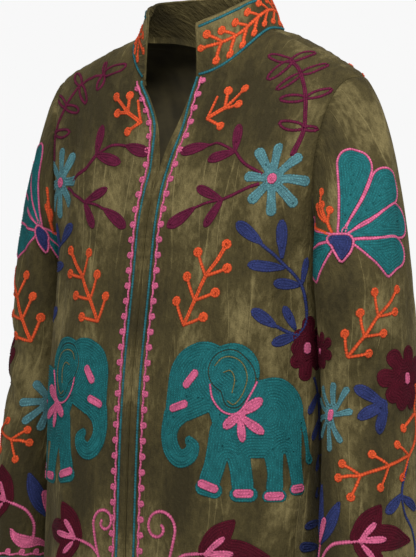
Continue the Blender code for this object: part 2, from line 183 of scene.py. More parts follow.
CREASES = fold_table(
    front_left=(
        (16, 30, 20, 62, 7, -1), (34, 28, 37, 58, 8, 1.4), (47, 40, 53, 70, 7, -1.2),
        (62, 30, 60, 60, 8, 1.6), (70, 52, 76, 80, 7, -1.4), (84, 44, 82, 66, 6, -1.2),
        (34, 70, 50, 96, 8, 1.4), (52, 74, 66, 95, 8, -1.3), (28, 2, 30, 16, 8, -1.4),
        (88, 2, 90, 20, 9, -1.8),
    ),
    front_right=(
        (18, 26, 22, 60, 7, -1.1), (36, 34, 34, 66, 8, 1.4), (52, 28, 56, 58, 7, -1.3),
        (66, 40, 62, 72, 8, 1.5), (82, 34, 84, 64, 7, -1.4), (36, 72, 52, 95, 8, 1.4),
        (56, 74, 68, 94, 8, -1.3), (26, 4, 28, 20, 8, -1.3),
    ),
    back=(
        (16, 10, 18, 46, 9, -1.4), (24, 50, 30, 80, 8, 1.2), (48, 52, 56, 84, 8, -1.4),
        (84, 20, 86, 52, 8, -1.4),
    ),
    sleeve_left=(
        (28, 50, 40, 54, 6, 1.3), (26, 44, 42, 46, 5, -1.2), (30, 36, 44, 38, 5, 1.1),
        (36, 60, 44, 84, 7, -1.3), (46, 62, 52, 90, 8, 1.3), (38, 10, 42, 30, 7, 1.3),
        (50, 6, 52, 26, 7, -1.3), (60, 44, 72, 50, 8, -1.6),
    ),
    sleeve_right=(
        (28, 52, 42, 58, 6, 1.3), (28, 40, 40, 43, 5, -1.2), (34, 62, 42, 88, 7, 1.3),
        (36, 10, 40, 30, 7, -1.3), (60, 42, 72, 50, 8, -1.6),
    ),
    collar=(
        (20, 0, 24, 100, 6, 0.8), (78, 0, 76, 100, 6, 0.8),
    ),
)
Size = namedtuple("Size", "across up")
FLAT_SIZE = {  # of each piece laid flat, or of half the back
    "front": Size(0.25, 0.77),
    "back": Size(0.26, 0.76),
    "sleeve": Size(0.39, 0.60),
    "collar": Size(0.42, 0.056),
}
FOLD_EASE = 0.022  # from a seam, over which folds grow to their full depth
FOLD_END = 0.15  # of its length, over which a fold rises and dies away
COLLAR_CLOTH = 0.003
BAND_WIDTH = 0.009
BAND_CLOTH = 0.001
BAND_SLOPE = 0.003  # over which embroidery climbs onto the band
MIRROR = np.array([-1.0, 1.0, 1.0])

SEAM_DIP = 0.0020  # how far the cloth sinks where it is sewn
SEAM_DIP_WIDTH = 0.005
SEAM_LAP = 0.0008  # how far a panel runs on past its side and shoulder seams
SLEEVE_ALLOWANCE = (0.009, 0.002)  # how far a sleeve runs on into the body, and how far under it
COLLAR_ALLOWANCE = (0.006, 0.001)
RIPPLE = 0.0009  # how far crushed velvet stands in and out between its creases
RIPPLE_ACROSS = 0.017  # from one ripple to the next
RIPPLE_UP = 0.085

Cut = namedtuple("Cut", "width length area")


def unit(ways):
    """Directions brought to a length of 1."""
    return ways / np.linalg.norm(ways, axis=-1)[..., None]


def distances(points):
    """How far along a line of points each lies."""
    return np.concatenate([[0.0], np.cumsum(np.linalg.norm(np.diff(points, axis=0), axis=1))])


def smooth(z, table, column):
    """A table's column where its first column is z, on a curve with no corners through the rows."""
    rows = sorted(table)
    at = np.array([row[0] for row in rows])
    value = np.array([getattr(row, column) for row in rows])
    slope = np.gradient(value, at)
    z = np.clip(z, at[0], at[-1])
    low = np.clip(np.searchsorted(at, z, side="right") - 1, 0, len(at) - 2)
    span = at[low + 1] - at[low]
    share = (z - at[low]) / span
    rise = share * share * (3 - 2 * share)
    leave = share * (1 - share) ** 2 * span * slope[low]
    arrive = share * share * (share - 1) * span * slope[low + 1]
    return value[low] + (value[low + 1] - value[low]) * rise + leave + arrive


def evenly(points, count):
    """count points spaced evenly along a line of points."""
    along = distances(points)
    at = np.linspace(0.0, along[-1], count)
    return np.stack([np.interp(at, along, points[:, k]) for k in range(points.shape[1])], axis=1)


def shoulder_z(x):
    """The height of the shoulder line at x: level at the neck, then falling to the shoulder point."""
    out = x - NECK_HALF_WIDTH
    return -SHOULDER_SLOPE * (np.sqrt(out**2 + SHOULDER_EASE**2) + out - SHOULDER_EASE) / 2


def closing(share):
    """How far a section still stands out at this share of its half width."""
    return np.maximum(0.0, 1 - np.abs(share) ** SECTION_POWER) ** (1 / SECTION_POWER)


def profile(face, turn):
    """How far out and how far up a yoke stands at this turn, as shares of its depth and height."""
    out, up = np.cos(turn).clip(0), np.sin(turn).clip(0)
    size = (out**face.power + up**face.power) ** (1 / face.power)
    return out / size, up / size


def depth_at(face, x, turn):
    """How deep the yoke's section is at x, as its half width goes from the chest's to the yoke's own."""
    across = smooth(UNDERARM_Z, SECTIONS, "half_width")
    across = across + (face.yoke_half_width - across) * np.sin(turn).clip(0) ** face.yoke_spread
    return smooth(UNDERARM_Z, SECTIONS, face.depth) * closing(x / across)


def yoke(face, x, turn):
    """A point of the upper front or back: turn is 0 at the underarm, a quarter turn at the shoulder."""
    out, up = profile(face, turn)
    z = UNDERARM_Z + (shoulder_z(np.abs(x)) - UNDERARM_Z) * up
    y = smooth(z, SECTIONS, "lean") + face.toward * (depth_at(face, x, turn) * out + SEAM_GAP / 2)
    return np.stack([x, y, z], axis=-1)


def swing_at(face, x):
    """Where on the neckline x is."""
    return np.arcsin((x / NECK_HALF_WIDTH) ** (face.neck_power / 2))


def neckline(face, swing):
    """(x, turn) of the neckline: swing is 0 at the middle and a quarter turn at the shoulder."""
    x = NECK_HALF_WIDTH * np.sin(swing) ** (2 / face.neck_power)
    depth = face.neck_depth * np.cos(swing).clip(0) ** (2 / face.neck_power)
    turn = np.full(np.shape(x), np.pi / 4)
    for _ in range(NECKLINE_ROUNDS):
        share = (depth / depth_at(face, x, turn)) ** face.power
        turn = np.arctan2((1 - share) ** (1 / face.power), share ** (1 / face.power))
    return x, turn


def armhole(face, share):
    """(x, turn) of the armhole, from the underarm at 0 to the shoulder point at 1."""
    start = smooth(UNDERARM_Z, SECTIONS, "half_width")
    x = start + (SHOULDER_X - start) * share**2 - face.armhole_dip * np.sin(np.pi * share)
    return x, share * np.pi / 2


def lower_row(face, z, edge):
    """A horizontal section from the inner edge to the side seam."""
    across, depth = smooth(z, SECTIONS, "half_width"), smooth(z, SECTIONS, face.depth)
    start = np.arcsin((edge(z) / across) ** (SECTION_POWER / 2))
    angle = np.linspace(start, np.pi / 2, DENSE)
    x = across * np.sin(angle) ** (2 / SECTION_POWER)
    out = depth * np.cos(angle).clip(0) ** (2 / SECTION_POWER) + SEAM_GAP / 2
    y = smooth(z, SECTIONS, "lean") + face.toward * out
    return np.stack([x, y, np.full(DENSE, z)], axis=1)


def yoke_row(face, share, edge):
    """A row of the yoke, from the front edge or the neckline to the armhole."""
    x_out, turn_out = armhole(face, share)
    first = swing_at(face, edge(NECK_FRONT_Z))
    on_edge = EDGE_ROWS / YOKE_ROWS
    if share < on_edge:
        turn_in = neckline(face, first)[1] * share / on_edge
        x_in = edge(UNDERARM_Z * (1 - profile(face, turn_in)[1]))
    else:
        x_in, turn_in = neckline(face, first + (np.pi / 2 - first) * (share - on_edge) / (1 - on_edge))
    along = np.sin(np.linspace(0.0, np.pi / 2, DENSE))
    return yoke(face, x_in + (x_out - x_in) * along, turn_in + (turn_out - turn_in) * along)


def panel_grid(face, edge):
    """Rows of points from the hem up to the shoulder seam, each from the inner edge to the side."""
    rows = [lower_row(face, z, edge) for z in np.linspace(HEM_Z, UNDERARM_Z, LOWER_ROWS * FINER + 1)]
    rows += [yoke_row(face, share, edge) for share in np.linspace(0.0, 1.0, YOKE_ROWS * FINER + 1)[1:]]
    return np.array([evenly(row, PANEL_COLUMNS * FINER + 1) for row in rows])


def front_edge(side):
    """The front edge's distance from the middle at a height, for one side."""
    return lambda z: float(smooth(z, FRONT_EDGE, side))


def armhole_loop(side):
    """The armhole from the underarm up the front to the shoulder point and down the back."""
    share = np.linspace(0.0, 1.0, YOKE_ROWS * FINER + 1)
    front, back = (yoke(face, *armhole(face, share)) for face in (FRONT[side], BACK))
    middle = (front[[0, -1]] + back[[0, -1]]) / 2
    return np.concatenate([middle[:1], front[1:-1], middle[1:], back[-2:0:-1]])


def sleeve_grid(side):
    """Rings of points from the armhole to the cuff."""
    start = armhole_loop(side)
    angle = np.linspace(0.0, 2 * np.pi, len(start), endpoint=False)
    height = (1 - np.cos(angle)) / 2
    out, up = (np.interp(height, (0, 1), ends) for ends in (LEAVE_OUT, LEAVE_UP))
    leave = unit(np.stack([out, -LEAVE_ASIDE * np.sin(angle), up], axis=1))
    start = start + 2 * SEAM_GAP * leave
    z = np.linspace(ARM[0].z, CUFF_Z, ARM_ROWS * FINER + 1)[:, None]
    x = smooth(z, ARM, "x") - smooth(z, ARM, "half_x") * np.cos(angle)
    y = smooth(z, ARM, "y_" + side) - smooth(z, ARM, "half_y") * np.sin(angle)
    tube = np.stack([x, y, z + 0 * x], axis=-1)
    reach = np.linalg.norm(tube[0] - start, axis=1)[:, None] * (1 - CROWN_EASE * height)[:, None]
    arrive = unit(tube[1] - tube[0])
    share = np.linspace(0.0, 1.0, CAP_ROWS * FINER + 1)[:-1, None, None]
    cap = (
        start * (1 + 2 * share) * (1 - share) ** 2
        + reach * leave * share * (1 - share) ** 2
        + tube[0] * share**2 * (3 - 2 * share)
        + reach * arrive * share**2 * (share - 1)
    )
    return np.concatenate([cap, tube])


def collar_grid():
    """Rows from the neckline up to the collar's top edge, each from the left end round to the right end."""
    base = []
    for face, side in ((FRONT["left"], "left"), (BACK, None), (BACK, None), (FRONT["right"], "right")):
        first = swing_at(face, front_edge(side)(NECK_FRONT_Z)) if side else 0.0
        swing = np.linspace(first, np.pi / 2, (YOKE_ROWS - EDGE_ROWS) * FINER + 1)
        base.append(yoke(face, *neckline(face, swing)))
    left, left_back, right_back, right = base
    base = np.concatenate([left, left_back[-2::-1], (right_back * MIRROR)[1:], (right * MIRROR)[-2::-1]])
    angle = np.arctan2(base[:, 0], -base[:, 1]) % (2 * np.pi)
    reach, up = (smooth(np.degrees(angle), COLLAR_TOP, column) for column in ("reach", "z"))
    top = np.stack([reach * np.sin(angle), -reach * np.cos(angle), up], axis=1)
    share = np.linspace(0.0, 1.0, COLLAR_ROWS * FINER + 1)[:, None, None]
    seat = base + 2 * SEAM_GAP * unit(top - base)
    return seat + (top - seat) * share


def eased(share):
    """A share from 0 to 1 that leaves 0 and reaches 1 softly."""
    share = np.clip(share, 0, 1)
    return share * share * (3 - 2 * share)


def posed(points):
    """Points with the shoulders turned against the hips, and the right shoulder lifted."""
    x, y, z = points[..., 0], points[..., 1], points[..., 2]
    high = eased(1 - z / TURN_FROM_Z)
    angle = SHOULDER_TURN * high
    lift = SHOULDER_LIFT * high * eased((x - LIFT_X[0]) / (LIFT_X[1] - LIFT_X[0]))
    turned = (x * np.cos(angle) - y * np.sin(angle), x * np.sin(angle) + y * np.cos(angle))
    return np.stack([*turned, z + lift], axis=-1)


def normals_of(grid, closed=False):
    """The outward normal at each point of a grid of rows."""
    if closed:
        padded = np.concatenate([grid[:, -1:], grid, grid[:, :1]], axis=1)
        across = np.gradient(padded, axis=1)[:, 1:-1]
    else:
        across = np.gradient(grid, axis=1)
    return unit(np.cross(across, np.gradient(grid, axis=0)))


def unevenness(name, across, up):
    """How far crushed velvet stands in and out between its creases, at places in metres."""
    seed = 10.0 * sorted(CREASES).index(name)
    move = np.empty(across.shape)
    for place in np.ndindex(move.shape):
        at = (across[place] / RIPPLE_ACROSS, up[place] / RIPPLE_UP, seed)
        move[place] = noise.noise(at) + 0.5 * noise.noise((2.1 * at[0], 2.6 * at[1], seed + 5))
    return RIPPLE * move


def folded(name, grid, normal):
    """Points moved along their normals by folds, creases and seams."""
    size = FLAT_SIZE[name.split("_")[0]]
    rows, columns = grid.shape[:2]
    across = np.linspace(0.0, 1.0, columns, endpoint=not name.startswith("sleeve"))[None, :]
    up = np.linspace(0.0, 1.0, rows)[:, None]
    if name.startswith("sleeve"):
        up = 1 - up
    move = np.zeros((rows, columns))
    for fold in FOLDS[name] + CREASES[name]:
        start = np.array([fold.across_from * size.across, fold.up_from * size.up])
        run = np.array([fold.across_to * size.across, fold.up_to * size.up]) - start
        a, u = across * size.across - start[0], up * size.up - start[1]
        along = (a * run[0] + u * run[1]) / (run @ run)
        aside = (a * run[1] - u * run[0]) / np.sqrt(run @ run)
        before, after = (along + FOLD_END) / (2 * FOLD_END), (1 + FOLD_END - along) / (2 * FOLD_END)
        if fold.up_from == 0:
            before = after
        move += fold.depth * np.exp(-((aside / fold.width) ** 2)) * eased(np.minimum(before, after))
    ease = np.clip((1 - up) * size.up / FOLD_EASE, 0, 1) * np.ones((1, columns))
    wave = across if not name.startswith("sleeve") else 0.5 + 0.5 * np.abs(2 * across - 1)
    wide, tall = np.broadcast_arrays(wave * size.across, up * size.up)
    move += unevenness(name, wide, tall)
    if name.startswith("collar"):
        ease = np.clip(up * size.up / FOLD_EASE, 0, 1) * np.ones((1, columns))
    elif not name.startswith("sleeve"):
        ease = ease * np.clip(np.minimum(across, 1 - across) * size.across / FOLD_EASE, 0, 1)
    move = move * eased(ease)
    if not name.startswith("collar"):
        move = move - SEAM_DIP * np.exp(-(((1 - up) * size.up / SEAM_DIP_WIDTH) ** 2))
    if name.startswith(("front", "back")):
        move = move - SEAM_DIP * np.exp(-(((1 - across) * size.across / SEAM_DIP_WIDTH) ** 2))
    return grid + move[..., None] * normal


def shaped(name, grid, mirror=False, closed=False, flip=False):
    """A piece's grid posed and folded, with its normals."""
    grid = posed(grid * MIRROR if mirror else grid)
    way = -1 if flip != mirror else 1
    grid = folded(name, grid, way * normals_of(grid, closed))
    return grid, way * normals_of(grid, closed)


def front_band(grid, normal):
    """The strip of cloth along a front edge: its outer points and their normals."""
    at = np.linspace(0.0, BAND_WIDTH, 2 * FINER + 1)
    rows = []
    for row in np.concatenate([grid, normal], axis=2)[: NECK_ROW + 1]:
        along = distances(row[:, :3])
        rows.append([np.interp(at, along, row[:, k]) for k in range(6)])
    places, ways = np.split(np.array(rows).transpose(0, 2, 1), 2, axis=2)
    ways = unit(ways)
    return places + (SEAM_GAP + BAND_CLOTH) * ways, ways


# Flat coordinates: millimetres across and up each panel

LOOKUP_STEP = 2.0
MARGIN = 1.5  # how far stitches keep from a panel's edges
TOP_CLEAR = 0.4  # how much of a row of points they keep clear below its top seam


class Lay:
    """A grid of points and normals that can be looked up by millimetres across and up it."""

    def __init__(self, grid, normal, zero, along_edge=False):
        across = 1000 * np.linalg.norm(np.diff(grid, axis=1), axis=2)
        across = np.concatenate([np.zeros((len(grid), 1)), np.cumsum(across, axis=1)], axis=1)
        across -= across[:, zero][:, None]
        if not along_edge:  # rows that start further out, as at the neckline, keep that distance
            run = unit(grid[:, zero + 1] - grid[:, max(zero - 1, 0)])
            out = (np.diff(grid[:, zero], axis=0) * (run[1:] + run[:-1]) / 2).sum(axis=1)
            across += 1000 * np.concatenate([[0.0], np.cumsum(out)])[:, None]
        self.grid, self.normal, self.across = grid, normal, across
        self.low, self.high = across[:, 0], across[:, -1]
        self.first = self.low.min()
        self.at_across = np.arange(self.first, self.high.max() + LOOKUP_STEP, LOOKUP_STEP)
        both = np.concatenate([grid, normal], axis=2)
        table = [
            [np.interp(self.at_across, line, row[:, k]) for k in range(6)] for line, row in zip(across, both)
        ]
        self.table = np.array(table).transpose(0, 2, 1)
        climb = 1000 * np.linalg.norm(np.diff(self.table[..., :3], axis=0), axis=2)
        self.up = np.concatenate([np.zeros((1, climb.shape[1])), np.cumsum(climb, axis=0)])

    def flat(self):
        """Metres across and up at each grid point."""
        up = [np.interp(line, self.at_across, row) for line, row in zip(self.across, self.up)]
        return np.stack([self.across, up], axis=2) / 1000

    def find(self, places):
        """(row, its share, column, its share, whether inside the rows) of flat places."""
        column = np.clip((places[..., 0] - self.first) / LOOKUP_STEP, 0, self.up.shape[1] - 1.001)
        c = column.astype(int)
        fc = column - c
        lines = self.up[:, c] * (1 - fc) + self.up[:, c + 1] * fc
        r = np.clip((lines <= places[..., 1]).sum(axis=0) - 1, 0, len(lines) - 2)
        low, high = (np.take_along_axis(lines, (r + k)[None], axis=0)[0] for k in (0, 1))
        fr = (places[..., 1] - low) / (high - low)
        return r, fr.clip(0, 1), c, fc, (fr >= 0) & (fr <= 1)

    def inside(self, places):
        """Which flat places lie on the panel."""
        r, fr, _, _, on = self.find(places)
        low, high = (np.interp(r + fr, np.arange(len(ends)), ends) for ends in (self.low, self.high))
        on = on & (places[..., 0] > low + MARGIN) & (places[..., 0] < high - MARGIN)
        return on & (places[..., 1] > MARGIN) & (r + fr < len(self.low) - 1 - TOP_CLEAR)

    def at(self, places):
        """(points, normals) at flat places."""
        r, fr, c, fc, _ = self.find(places)
        fr, fc = fr[..., None], fc[..., None]
        low = self.table[r, c] * (1 - fc) + self.table[r, c + 1] * fc
        high = self.table[r + 1, c] * (1 - fc) + self.table[r + 1, c + 1] * fc
        both = low * (1 - fr) + high * fr
        return both[..., :3], unit(both[..., 3:])


class Panel:
    """One piece of the jacket: one lay, or two that meet at the middle back."""

    def __init__(self, *lays):
        self.lays = lays

    def inside(self, places):
        """Which flat places lie on the piece. Stitches may cross the middle back."""
        if len(self.lays) == 1:
            return self.lays[0].inside(places)
        clear = (np.abs(places[..., 0]) > MARGIN)[..., None]
        left, right = (
            lay.inside(np.where(clear, here, here + (2 * MARGIN, 0)))
            for lay, here in zip(self.lays, (places, places * (-1, 1)))
        )
        return np.where(places[..., 0] >= 0, left, right)

    def at(self, places):
        """(points, normals) at flat places."""
        if len(self.lays) == 1:
            return self.lays[0].at(places)
        left, right = self.lays[0].at(places), self.lays[1].at(places * (-1, 1))
        here = (places[..., 0] >= 0)[..., None]
        return tuple(np.where(here, a, b) for a, b in zip(left, right))


@functools.cache
def panel(name):
    """The surface of a panel, ready to be cut, dressed and embroidered."""
    side = name.split("_")[-1]
    mirror = side == "right"
    if name.startswith("front"):
        grid, normal = shaped(name, panel_grid(FRONT[side], front_edge(side)), mirror)
        return Panel(Lay(grid, normal, 0))
    if name.startswith("sleeve"):
        grid, normal = shaped(name, sleeve_grid(side), mirror, closed=True, flip=True)
        top = grid.shape[1] // 2
        grid, normal = (np.concatenate([part, part[:, :1]], axis=1)[::-1] for part in (grid, normal))
        return Panel(Lay(grid, normal, top))
    if name == "back":
        grid = panel_grid(BACK, lambda z: 0.0)
        halves = [shaped("back", grid, way, flip=True) for way in (False, True)]
        return Panel(*(Lay(*half, 0) for half in halves))
    grid, normal = shaped("collar", collar_grid())
    return Panel(Lay(grid, normal, 0, along_edge=True))


@functools.cache
def edge_panel(name, reverse=False):
    """A front or the collar with its places across measured from its edge, or from its other end."""
    (lay,) = panel(name).lays
    way = -1 if reverse else 1
    grid, normal = lay.grid[:, ::way], lay.normal[:, ::way]
    if name.startswith("front"):  # the band along the edge stands above the front
        inset = (lay.across - lay.across[:, :1]) / 1000
        on_band = eased((BAND_WIDTH + BAND_SLOPE - inset) / BAND_SLOPE)
        grid = grid + ((SEAM_GAP + BAND_CLOTH) * on_band)[..., None] * normal
    return Panel(Lay(grid, normal, 0, along_edge=True))


# Meshes

RING = ((0, 0), (0, 1), (1, 1), (1, 0))  # a cell's corners as (row, column), in order round it
ROLL_ACROSS = ((0.05, 0.1, 1.0), (0.7, 0.7, 0.1))  # what the first side of a roll's rings faces away from
ROLL_LEAST = 0.2  # the sine of the least angle between that and the roll
ROLL_CLOSE = 0.005  # the length of the last stretch of a closed roll
ROLL_SIDES = 8


def add_object(name, data):
    """A new object in the scene."""
    made = bpy.data.objects.new(name, data)
    bpy.context.scene.collection.objects.link(made)
    return made


def add_piece(name, points, quads, flat, looks, which, sharp=50, height=None):
    """An object from points and four-sided faces, with each corner's flat place in metres."""
    data = bpy.data.meshes.new(name)
    data.from_pydata(points, [], quads)
    data.uv_layers.new(name="Cloth").data.foreach_set("uv", np.asarray(flat, np.float32).ravel())
    # A second map carries each corner's share of painted light, for painted shade on the thread
    if height is not None:
        spots = np.stack([height[quads], 0 * height[quads]], axis=-1)
        data.uv_layers.new(name="Height").data.foreach_set("uv", spots.astype(np.float32).ravel())
    for look in looks:
        data.materials.append(look)
    data.polygons.foreach_set("material_index", np.asarray(which, np.int32))
    data.shade_smooth()
    data.set_sharp_from_angle(angle=math.radians(sharp))
    piece = add_object(name, data)
    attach(piece, "root")
    return piece


def allowance(patch, first, way, inward):
    """The patch with a seam allowance on its first or last row, under the piece that it is sewn to."""
    points, normals, flat, closed = patch
    edge = 0 if first else -1
    under = points[edge] + way - inward * normals[edge]
    reach = np.linalg.norm(way)
    further = flat[edge] + (0.0, -reach if first else reach)
    grids = []
    for grid, row in ((points, under), (normals, normals[edge]), (flat, further)):
        grids.append(np.concatenate([row[None], grid] if first else [grid, row[None]]))
    return *grids, closed


def lapped(grid):
    """A panel's points, run on a little past the side and shoulder seams so that no light comes through."""
    grid = grid.copy()
    side = slice(LOWER_ROWS * FINER + 1)
    for edge, beside in (((side, -1), (side, -2)), (-1, -2)):
        grid[edge] += SEAM_LAP * unit(grid[edge] - grid[beside])
    return grid


def add_shell(name, patches, thickness, looks):
    """One closed wall of cloth from patches of (points, normals, flat places, closed round)."""
    index, outer, inner, faces, corners = {}, [], [], [], []
    for points, normals, flat, closed in patches:
        rows, columns = points.shape[:2]
        count = columns - 1 if closed else columns
        places = np.empty((rows, columns), int)
        for row, column in np.ndindex(rows, count):
            key = tuple(np.round(points[row, column], 6))
            if key not in index:
                index[key] = len(outer)
                outer.append(points[row, column])
                inner.append(points[row, column] - thickness * normals[row, column])
            places[row, column] = index[key]
        if closed:
            places[:, -1] = places[:, 0]
        for grid, found, shape in ((places, faces, (-1, 4)), (flat, corners, (-1, 4, 2))):
            around = [grid[i : rows - 1 + i, j : columns - 1 + j] for i, j in RING]
            found.append(np.stack(around, axis=2).reshape(shape))
    faces, corners = np.concatenate(faces), np.concatenate(corners)
    edge = {}
    for face, at in zip(faces.tolist(), corners.tolist()):
        for k in range(4):
            a, b = face[k], face[(k + 1) % 4]
            if (b, a) in edge:
                del edge[b, a]
            else:
                edge[a, b] = (at[k], at[(k + 1) % 4])
    size = len(outer)
    rims = np.array([(b, a, a + size, b + size) for a, b in edge])
    spot = np.array([(at[1], at[0], at[0], at[1]) for at in edge.values()])
    quads = np.concatenate([faces, faces[:, ::-1] + size, rims])
    flat = np.concatenate([corners, corners[:, ::-1], spot])
    which = np.concatenate([np.zeros(len(faces)), np.ones(len(faces)), np.zeros(len(rims))])
    if wound_inward(np.array(outer), faces, patches[0]):
        quads, flat = quads[:, ::-1], flat[:, ::-1]
    return add_piece(name, np.array(outer + inner), quads, flat, looks, which)


def mid_cloth(lay, thickness=CLOTH):
    """Points halfway through a piece's cloth."""
    return lay.grid - 0.5 * thickness * lay.normal


def wound_inward(points, faces, patch):
    """Whether faces are wound against the normals that their patch gives."""
    a, b, c = (points[faces[:, k]] for k in range(3))
    way = np.cross(b - a, c - a)[0]
    return way @ patch[1][0, 0] < 0


def add_roll(name, line, radius, looks, closed=False):
    """A rolled edge: a round tube along a line of points."""
    sides, count = ROLL_SIDES, len(line)
    ahead = np.roll(line, -1, axis=0) - np.roll(line, 1, axis=0) if closed else np.gradient(line, axis=0)
    run = unit(ahead)
    for across in ROLL_ACROSS:  # until one that no part of the line runs along
        side = np.cross(run, across)
        if np.linalg.norm(side, axis=1).min() >= ROLL_LEAST:
            break
    side = unit(side)
    up = np.cross(side, run)
    angle = np.linspace(0, 2 * np.pi, sides, endpoint=False)
    out = np.cos(angle)[:, None] * side[:, None] + np.sin(angle)[:, None] * up[:, None]
    points = (line[:, None] + radius * out).reshape(-1, 3)
    rows = np.arange(count if closed else count - 1)
    r, s = np.meshgrid(rows, np.arange(sides), indexing="ij")
    nr, ns = (r + 1) % count, (s + 1) % sides
    quads = np.stack([r * sides + s, nr * sides + s, nr * sides + ns, r * sides + ns], axis=-1).reshape(-1, 4)
    along = distances(line)
    far = np.append(along, along[-1] + ROLL_CLOSE)
    wide = 2 * np.pi * radius / sides
    u = np.stack([s, s, s + 1, s + 1], axis=-1) * wide
    v = np.stack([far[r], far[r + 1], far[r + 1], far[r]], axis=-1)
    flat = np.stack([u, v], axis=-1).reshape(-1, 4, 2)
    if not closed:
        ends = [np.arange(sides)[::-1], np.arange(sides) + (count - 1) * sides]
        caps = [[e[0], e[k], e[k + 1], e[k + 2]] for e in ends for k in range(1, sides - 2, 2)]
        quads = np.concatenate([quads, caps])
        flat = np.concatenate([flat, np.zeros((len(caps), 4, 2))])
    return add_piece(name, points, quads, flat, looks, np.zeros(len(quads)))


# Embroidery, drawn flat in millimetres. A stroke is rows of (across, up, half width).

Patch = namedtuple("Patch", "colour strokes without edge level")
Thread = namedtuple("Thread", "colour points width level")
Spot = namedtuple("Spot", "motif across up turn size flip", defaults=(0, 1, 1))
THREADS = ("teal", "lagoon", "burgundy", "wine", "orange", "pink", "navy", "cord", "ochre")
ROW = 3.1  # from one row of chain stitch to the next
ROW_WIDTH = 1.04 * ROW
ONE_ROW = 2.4  # a stroke with a half width up to this is worked as one row
EDGE_ROW = 3.4  # the width of an outline in another colour
EDGE_OUT = 0.4 * EDGE_ROW  # how far outside its patch an outline runs
STITCH = 3.2  # the length of a link
SHORTEST = 2.5 * STITCH  # a line shorter than this is left out
CELL = 1.0  # of the grid on which a patch's outline is found
CUT_GAP = 0.4  # kept clear round what is cut out of a patch
AROUND = 4 * CELL  # empty ground on that grid round a patch
DISCS_AT_ONCE = 40  # points of strokes compared with the whole grid at a time
PAIRS_AT_ONCE = 2_000_000  # of places and points of an outline compared at a time
FILL_CELLS = 2  # of that grid, in each cell of the filling between rows
FILL_INSET = 0.9
FILL_LIFT = 0.45  # how high above the velvet the filling lies, and below a row's sides and its crown
ROW_LIFT = 0.15
ROW_CROWN = 1.6
CROWN_MOST = 1.2  # a row's crown grows with its width up to this many times
LEVEL_LIFT = 1.1  # how much higher stitches lie that are worked over others
JOINT_WIDTH = 0.78  # where two links join, as a share of a link's width, and below of its height
JOINT_CROWN = 0.62
FILL_PAINTED_LIGHT = 0.62  # how much painted light the filling and a row's sides get, as a share of a link's top; the rest is painted shade
SIDE_PAINTED_LIGHT = 0.12
STITCH_UNEVENNESS = 0.16


def curve(points):
    """Rows along a smooth curve through a few."""
    rows = np.array(points, float)
    if len(rows) == 1:
        return rows
    ends = np.concatenate([2 * rows[:1] - rows[1:2], rows, 2 * rows[-1:] - rows[-2:-1]])
    found = []
    for a, b, c, d in zip(ends, ends[1:], ends[2:], ends[3:]):
        count = max(2, math.ceil(np.linalg.norm((c - b)[:2]) / CELL))
        t = np.linspace(0, 1, count, endpoint=False)[:, None]
        square, cube = 2 * a - 5 * b + 4 * c - d, 3 * b - a - 3 * c + d
        found.append(0.5 * (2 * b + (c - a) * t + square * t**2 + cube * t**3))
    return np.concatenate(found + [rows[-1:]])


def leaf(x, y, angle, length, width):
    """A leaf from its stalk's end, widest past its middle."""
    along = np.array([0.02, 0.30, 0.58, 0.80, 0.93]) * length
    half = np.array([0.38, 0.80, 1.0, 0.90, 0.50]) * width / 2
    way = math.radians(angle)
    return np.column_stack([x + along * math.cos(way), y + along * math.sin(way), half])


def petal(angle, start, end, narrow, wide):
    """A petal that widens towards its round end, round the middle."""
    along = np.array([start, 0.5 * (start + end), end - wide])
    half = np.array([narrow, 0.5 * (narrow + wide), wide])
    way = math.radians(angle)
    return np.column_stack([along * math.cos(way), along * math.sin(way), half])


def stem(points, half):
    """A line of one width."""
    return np.column_stack([np.array(points, float), np.full(len(points), half)])


def patch(colour, *strokes, without=(), edge=None, level=0):
    """A filled shape of one colour: the union of its strokes, without those of another."""
    strokes, without = ([np.array(rows, float) for rows in part] for part in (strokes, without))
    return Patch(colour, strokes, without, edge, level)


def thread(colour, points, width, level=0):
    """One line of stitches."""
    return Thread(colour, np.array(points, float), width, level)


def berry(x, y, half=6.0):
    """A round dot, as a stroke of one row."""
    return [(x, y, half)]


def sprig(rungs, spacing=1.0, top=1.0):
    """A coral sprig: two twigs with round berries at every node of a stem, and a berry at its top."""
    nodes = [(11.5 * spacing * k, 27.5 * spacing * k) for k in range(rungs)]
    x, y = nodes[-1]
    tip = (x + 22 * top, y + 36 * top)
    strokes = [stem(nodes + [(x + 12 * top, y + 17 * top), tip], 2.6), berry(*tip)]
    for x, y in nodes:
        for reach, rise in ((-13, 27), (25, 9)):
            strokes += [stem([(x, y), (x + 0.55 * reach, y + 0.5 * rise), (x + reach, y + rise)], 2.3)]
            strokes += [berry(x + reach, y + rise)]
    return [patch("orange", *strokes)]


def neck_sprig():
    """A small coral sprig with one bare twig."""
    ends = ((19, -8), (16, 35), (35, 18), (36, 38))
    strokes = [stem([(18, 14) if k else (0, 0), end], 2.3) for k, end in enumerate(ends)]
    strokes += [berry(*end, 5.6) for end in ends]
    return [patch("orange", stem([(0, 0), (18, 14)], 2.6), stem([(0, 0), (3, 14), (5, 28)], 2.0), *strokes)]


def coral_twigs(twigs):
    """Single twigs with a berry at each end, from rows of (start, middle, end)."""
    strokes = [stroke for twig in twigs for stroke in (stem(twig, 2.3), berry(*twig[-1], 5.4))]
    return [patch("orange", *strokes)]


def leaf_spray(leaves, stalk, link):
    """Leaves on a joint, with a third at the end of a long stalk, and a stem that leads away."""
    found = [leaf(*(stalk[-1] if k == 2 else (0, 0)), *sizes) for k, sizes in enumerate(leaves)]
    return [patch("burgundy", *found, stem([(0, 0), *stalk], 2.0), stem([(0, 0), *link], 2.3))]


def petals_round(table, start, narrow, wide):
    """Petals from rows of (angle, length)."""
    return [petal(angle, start, length, narrow, wide) for angle, length in table]


